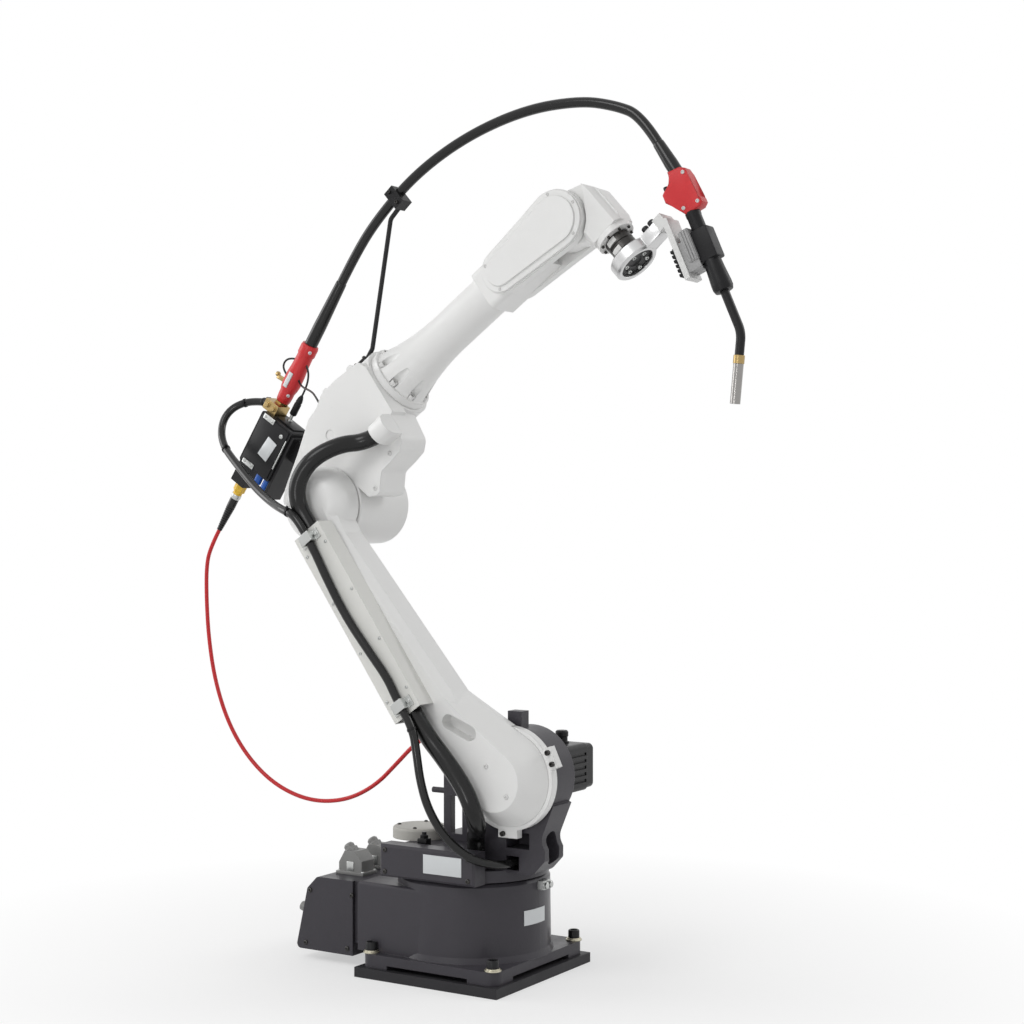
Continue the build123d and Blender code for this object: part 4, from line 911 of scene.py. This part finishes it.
# %% Screws of the elbow and the forearm
GEAR_COVER_FACE, ROD_FOOT_TOP, CLIP_SIDE = -88, 235, -17
ROLL_Z, ROLL_FACE, FLUTE_R = 145, 263.5, 63
WRIST_COVER_HALF = 52
WRIST_COVER_ENDS = [(764, 54, (-70, 0, 70)), (606, 37, (125, 235))]
bm = bmesh.new()
for x, z in ((222, 52), (224, 12), (190, -6), (118, -42)):
    button_screw(bm, facing(FOREARM, x, GEAR_COVER_FACE, z, NEAR), 6)
riding("gear_cover_screws", bm, PALE_ALLOY, "white_paint", "elbow")
bm = bmesh.new()
for x in (187, 213):
    for y in (-11, 11):
        socket_bolt(bm, facing(FOREARM, x, y, ROD_FOOT_TOP, UP), 5)
for z in (-20, 10):
    socket_bolt(bm, facing(CLIP, 0, CLIP_SIDE, z, NEAR), 5)
riding("rod_screws", bm, DARK_STEEL, "black_steel", "elbow")
bm = bmesh.new()
for index in range(8):
    turned = rolled(FOREARM @ shift(0, 0, ROLL_Z), 45 * (index + 0.5))
    socket_bolt(bm, facing(turned, ROLL_FACE, 0, FLUTE_R, AHEAD), 10)
for side in (-1, 1):
    for end_x, reach, angles in WRIST_COVER_ENDS:
        for angle in (radians(a) for a in angles):
            x, z = end_x + reach * cos(angle), ROLL_Z + reach * sin(angle)
            button_screw(bm, facing(FOREARM, x, side * WRIST_COVER_HALF, z, (0, side, 0)), 4)
riding("forearm_screws", bm, PALE_ALLOY, "white_paint", "forearm")

# %% [markdown]
# ## The wrist and the tool flange
#
# Dark screws ring the wrist, and the dark drum behind the bracket turns with the tool. Its grooves
# come from the lathe profile, and two pale index plates are bent round it. The bracket is a
# machined ring with a deep seat for its own screws, and an arm that is clamped by four black cap
# screws.

# %% Wrist ring screws and the drum
RING_FACE, RING_SCREW_R = 107, 35
DRUM_BACK = 107.5
PLATE_WIDTH, PLATE_STEP = 11, 8
bm = bmesh.new()
for index in range(8):
    socket_bolt(bm, facing(rolled(TOOL, 45 * index), RING_FACE, 0, RING_SCREW_R, AHEAD), 4)
riding("wrist_ring_screws", bm, DARK_STEEL, "black_steel", "wrist")
turned_piece(
    "grooved_drum", along_x(TOOL @ shift(DRUM_BACK, 0, 0)),
    [(0, 0), (26, 0), (28, 1.5), (28, 17), (26, 18), (26, 21), (28, 22), (28, 34), (25.5, 35),
     (25.5, 38), (28, 39), (28, 43), (0, 43)], 48, DARK_STEEL, "black_steel", "tool", "tool_flange")
bm = bmesh.new()
for start, middle in ((3, -100), (24, -95)):
    for step in range(6):
        turned = rolled(TOOL, middle - 180 + PLATE_STEP * step)
        low = DRUM_BACK + start
        bar(bm, turned, (low, -2.05, 27.4), (low + PLATE_WIDTH, 2.05, 28.8), 0.2)
riding("index_plates", bm, PALE_ALLOY, "aluminium", "tool")

# %% Torch bracket
BRACKET_BACK, SEAT_FACE, SEAT_TOP, SEAT_SCREW_R = 150.5, 167, 170.5, 25
bm = bmesh.new()
lathe(bm, along_x(TOOL @ shift(BRACKET_BACK, 0, 0)),
      [(0, 0), (45, 0), (48, 3), (48, 24), (44, 28), (38, 28), (36.5, 26.5), (36.5, 17), (0, 17)],
      64)
bar(bm, TOOL, (BRACKET_BACK, -20, 40), (178.5, 20, 84), 2.5)
riding("machined_bracket", bm, ALUMINIUM, "aluminium", "tool", "torch_bracket")
bm = bmesh.new()
lathe(bm, along_x(TOOL @ shift(SEAT_FACE, 0, 0)),
      [(0, 0), (35.5, 0), (35.5, 2.5), (34.5, 3.5), (15, 3.5), (13, 1.5), (0, 1.5)], 48)
for z in (60, 77):
    for y in (-10, 10):
        socket_bolt(bm, facing(TOOL, BRACKET_BACK, y, z, BACK), 10)
riding("bracket_seat_and_screws", bm, BLACK_PAINT, "black_paint", "tool")
bm = bmesh.new()
for index in range(6):
    socket_bolt(bm, facing(rolled(TOOL, 60 * index + 10), SEAT_TOP, 0, SEAT_SCREW_R, AHEAD), 6)
riding("bracket_seat_bolts", bm, ZINC, "zinc_steel", "tool")

# %% [markdown]
# ## The torch
#
# The holder is a black moulding: a squared block where it is clamped and a round grip that swells
# towards the neck. A grey ribbed pad presses it against the angle plate. The red shell is two flat
# halves with corner bosses: an outline, extruded and rounded, with three pale screws, a black
# throat and a black switch stub.

# %% Holder and clamp
bm = bmesh.new()
bar(bm, TORCH, (-2, -19, -17), (64, 19, 22), 4)
lathe(bm, along_x(TORCH), [(0, 52), (15, 52), (17.5, 60), (18.5, 84), (20.5, 112), (20.5, 122),
                           (18, 129), (12, 130), (0, 130)], 40)
riding("moulded_holder", bm, BLACK_PLASTIC, "black_plastic", "tool", "torch_holder")
bm = bmesh.new()
bar(bm, TORCH, (-12, -25, -33), (54, 25, -14), 2)
for rib in range(5):
    y = -22 + 11 * rib
    bar(bm, TORCH, (-10, y - 2.5, -36), (52, y + 2.5, -32), 1)
for rib in range(3):
    z = -30 + 6 * rib
    bar(bm, TORCH, (-10, -27, z - 1.8), (52, -24, z + 1.8), 0.8)
    bar(bm, TORCH, (-10, 24, z - 1.8), (52, 27, z + 1.8), 0.8)
riding("ribbed_clamp_pad", bm, PAD_PLASTIC, "grey_plastic", "tool")
bm = bmesh.new()
bar(bm, TORCH, (8, -14, -63), (70, 14, -55.5), 1)
for tooth in range(6):
    x = 10 + 10 * tooth
    bar(bm, TORCH, (x, -14, -69), (x + 6.5, 14, -62), 1.2)
riding("angle_rack", bm, BLACK_PLASTIC, "black_plastic", "tool")

# %% Shell and its fittings
SHELL_HALF, SHELL_ROUND = 15.5, 4
SHELL_OUTLINE = [
    (-134, -13), (-131, 14), (-124, 24), (-112, 26), (-64, 26), (-56, 32), (-47, 32), (-40, 23),
    (-39, -10), (-50, -17), (-66, -28), (-80, -40), (-97, -40), (-104, -32), (-106, -17),
    (-112, -13)]
bm = bmesh.new()
halves = [[bm.verts.new(spot(TORCH, x, side, z)) for x, z in SHELL_OUTLINE]
          for side in (-SHELL_HALF, SHELL_HALF)]
loft_rings(bm, halves)
to_torch = TORCH.inverted()
across = {edge: to_torch @ edge.verts[0].co - to_torch @ edge.verts[1].co for edge in bm.edges}
rims = [edge for edge, run in across.items() if abs(run.y) < MM]
bmesh.ops.bevel(bm, geom=rims, offset=SHELL_ROUND * MM, segments=3, profile=0.5, affect="EDGES")
riding("moulded_shell", bm, RED_PLASTIC, "red_plastic", "tool", "torch_shell")
turned_piece(
    "throat_sleeve", along_x(TORCH @ shift(-41, 0, 0)),
    [(0, 0), (15.5, 0), (15.5, 8), (14.6, 10), (14.6, 40), (0, 40)], 32, BLACK_PLASTIC,
    "black_plastic", "tool")
bm = bmesh.new()
for x, z in ((-117, 18), (-51, 24), (-52, -8)):
    for side in (-1, 1):
        button_screw(bm, facing(TORCH, x, side * SHELL_HALF, z, (0, side, 0)), 4.5)
riding("shell_screws", bm, PALE_ALLOY, "aluminium", "tool")
turned_piece("shell_stub", facing(TORCH, -92, 0, -33, BACK),
             [(0, -8), (7, -8), (7, 3), (5, 5), (5, 20), (4, 22), (0, 22)], 20, BLACK_PLASTIC,
             "black_plastic", "tool")

# %% [markdown]
# ## Boots
#
# A boot keeps a cable from kinking where it leaves a fitting. The two on the torch cable are smooth
# tapered sleeves. The one on the gas hose has ribs that get thinner towards the hose, so a helper
# cuts ribs of falling size along a taper.

# %% Boots
RIB_DEPTH = 0.16
BOOT_SIDES = 32


def ribbed_boot(name, frame, length, wide, narrow, plain, ribs, body, node):
    """A tapered boot along the frame's Z: a plain sleeve, then ribs down to the cable."""
    rings = [(0, 0), (wide, 0), (wide, plain)]
    pitch = (length - plain) / ribs
    for rib in range(ribs):
        low = plain + rib * pitch
        radius = wide + (narrow - wide) * (rib + 0.5) / ribs
        root = radius - RIB_DEPTH * wide
        rings += [(root, low + 0.1 * pitch), (root, low + 0.35 * pitch),
                  (radius, low + 0.45 * pitch), (radius, low + 0.95 * pitch)]
    rings += [(narrow - 0.5, length), (0, length)]
    turned_piece(name, frame, rings, BOOT_SIDES, BLACK_RUBBER, "black_rubber", body, node)


def plain_boot(name, frame, length, wide, narrow, body, node):
    """A smooth sleeve with a rounded lip at the cable."""
    rings = [(0, 0), (wide, 0), (wide, 0.3 * length), (narrow + 1, length - 5),
             (narrow + 0.8, length - 1.5), (narrow, length), (0, length)]
    turned_piece(name, frame, rings, BOOT_SIDES, BLACK_RUBBER, "black_rubber", body, node)


plain_boot(
    "handle_boot_sleeve", along_x(FEEDER @ shift(257, 0, FEED_Z)), 156, 14.5, 10.8, "elbow",
    "handle_boot")
ribbed_boot(
    "hose_boot_sleeve", facing(FEEDER, -138, HOSE_Y, HOSE_Z, BACK), length=84, wide=10, narrow=6,
    plain=22, ribs=11, body="elbow", node="hose_boot")
plain_boot(
    "shell_boot_sleeve", facing(SHELL_BOOT, 4, 0, 0, BACK), 74, 14, 10.8, "tool", "shell_boot")

# %% [markdown]
# ## The wire feeder
#
# The feeder is a black box with a thin cover, a bare plate and zinc straps at its ends. The red
# handle clamps the torch cable: it is a turned form with a waist, a swelling for the brass lever
# and a collar at the top.

# %% Handle, lever and fittings
BEVEL_WAY = (0, -0.6, -0.8)
turned_piece(
    "turned_handle", along_x(FEEDER @ shift(111, 0, FEED_Z)),
    [(0, 0), (14, 0), (16, 3), (17, 16), (17, 26), (19.5, 34), (21, 46), (20.5, 70), (18.8, 88),
     (18, 112), (18, 118), (20, 122), (20, 140), (18.5, 145), (13, 146), (0, 146)], 40, RED_PLASTIC,
    "red_plastic", "elbow", "cable_handle")
bm = bmesh.new()
bar(bm, FEEDER, (149, -22.2, 14), (185, -19, 25), 0.6)
for x, radius in ((133, 17), (244, 20)):
    place = (x, BEVEL_WAY[1] * radius, FEED_Z + BEVEL_WAY[2] * radius)
    button_screw(bm, facing(FEEDER, *place, BEVEL_WAY), 4.5)
riding("handle_plate_and_screws", bm, BARE_PLATE, "aluminium", "elbow")
bm = bmesh.new()
bar(bm, FEEDER @ shift(155, -3, 36) @ tilt(-6), (-5, -3.5, 0), (5, 3.5, 26), 1.5)
lathe(bm, facing(FEEDER, 157, -3, 61, UP), [(0, -2), (5, -1), (6.2, 2), (5, 6), (0, 7)], 20)
lathe(bm, along_x(FEEDER @ shift(103, 0, FEED_Z)),
      [(0, 0), (14, 0, HEX), (14, 7, HEX), (12.5, 8), (0, 8)])
for z in (11, 31):
    hex_bolt(bm, facing(FEEDER, 95, -32, z, NEAR), 6)
riding("brass_lever_and_nuts", bm, BRASS, "brass", "elbow")
turned_piece(
    "hexagon_hose_fitting", facing(FEEDER, -98, HOSE_Y, HOSE_Z, BACK),
    [(0, 0), (12, 0, HEX), (12, 20, HEX), (10.5, 22), (10.5, 30), (0, 30)], 24, YELLOW_FITTING,
    "brass", "elbow", "hose_fitting")
turned_piece(
    "hose_ferrule", facing(FEEDER, -126, HOSE_Y, HOSE_Z, BACK),
    [(0, 0), (11, 0), (11.5, 2), (11.5, 9), (10, 12), (0, 12)], 32, ZINC, "zinc_steel", "elbow")

# %% Feeder cover and straps
COVER_OUT, STRAP_OUT = -44.5, -46
bm = bmesh.new()
bar(bm, FEEDER, (-40, COVER_OUT, -64), (78, -41.5, 23), 1.2)
bar(bm, FEEDER, (84, -30, -62), (86, 14, -4), 0.6)
riding("feeder_cover", bm, BLACK_PAINT, "black_paint", "elbow")
bm = bmesh.new()
bar(bm, FEEDER @ shift(17, COVER_OUT, -31) @ tilt(8), (-24, -1, -15), (24, 0.4, 15), 0.4)
riding("feeder_bare_plate", bm, BARE_PLATE, "aluminium", "elbow")
bm = bmesh.new()
bar(bm, FEEDER, (70, STRAP_OUT, -17), (82, -44, 17), 0.5)
bar(bm, FEEDER, (-44, STRAP_OUT, -19), (-33, -44, 16), 0.5)
for x, z in ((76, -11), (76, 11), (-38, -13), (-38, 10)):
    button_screw(bm, facing(FEEDER, x, STRAP_OUT, z, NEAR), 3.5)
button_screw(bm, facing(FEEDER, 60.7, COVER_OUT, -50, NEAR), 6)
lathe(bm, facing(FEEDER, -12, -44, -67, AHEAD), [(0, 0), (1.8, 0), (1.8, 72), (0, 72)], 12)
lathe(
    bm, facing(FEEDER, 83, -4, -22, AHEAD), [(0, 0), (6, 0), (6, 6), (4, 7), (4, 24), (0, 24)], 20)
riding("feeder_straps", bm, ZINC, "zinc_steel", "elbow")

# %% Plugs and thin wires of the feeder
bm = bmesh.new()
lathe(bm, along_x(FEEDER @ shift(102, -4, -22)),
      [(0, 0), (6.5, 0), (8, 2), (8, 28), (7, 29), (7, 32), (7.6, 33), (6, 42), (3.2, 49), (0, 49)])
lathe(bm, POWER_PLUG, [(0, -5), (10.5, -5, HEX), (10.5, 6, HEX), (9.6, 8), (10.2, 9), (10.2, 14),
                       (9, 17), (0, 17)])
riding("feeder_plug_bodies", bm, BLACK_PLASTIC, "black_plastic", "elbow", "feeder_plugs")
WIRE_D = 0.0045
WIRES = {
    "control_wire": [spot(FEEDER, *place) for place in (
        (150, -4, -22), (168, -4, -22), (188, -4, -18), (206, -4, -8), (214, -3, 6))],
    "loop_wire": [spot(FEEDER, *place) for place in (
        (212, -6, 34), (206, -8, 50), (190, -8, 60), (174, -7, 54), (168, -6, 36))],
    "elbow_wire": [spot(FEEDER, 178, -6, 6), spot(FEEDER, 168, -10, -10)] + [
        spot(FOREARM, *place) for place in (
            (72, -34, 254), (84, -52, 226), (88, -60, 204), (88, -62, 180))],
}
for name, route in WIRES.items():
    carried_cord(name, smooth_line(name + "_line", route), WIRE_D, BLACK_RUBBER, "elbow", "medium")

# %% [markdown]
# Cable ties hold the power cable to itself and to its neighbours. Each is a thin band with a square
# head. It is placed on the cable's own line, round the jacket.

# %% Cable ties
BAND_IN, BAND_OUT, BAND_HALF = 0.5, 1.3, 2.4


def cable_tie(name, line, share, diameter):
    where = carried_frames(line)[round(share * (len(line) - 1))]
    radius = diameter / 2 / MM
    bm = bmesh.new()
    low, high = radius - BAND_IN, radius + BAND_OUT
    lathe(bm, where, [(low, -BAND_HALF), (high, -BAND_HALF), (high, BAND_HALF), (low, BAND_HALF),
                      (low, -BAND_HALF)])
    bar(bm, where, (radius + 0.2, -3.4, -3), (radius + 5.5, 3.4, 3), 0.7)
    bmesh.ops.remove_doubles(bm, verts=bm.verts, dist=WELD)
    band = new_piece(name, bm, BLACK_PLASTIC)
    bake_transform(band)


for number, share in enumerate((0.08, 0.42, 0.9)):
    cable_tie(f"power_cable_tie_{number}", lines["power_cable"], share, POWER_CABLE_D)
cable_tie(
    "shoulder_cable_tie", lines["shoulder_cable"], 0.07, POWER_CABLE_D)
print("ties placed")

# %% The end
bpy.context.view_layer.update()
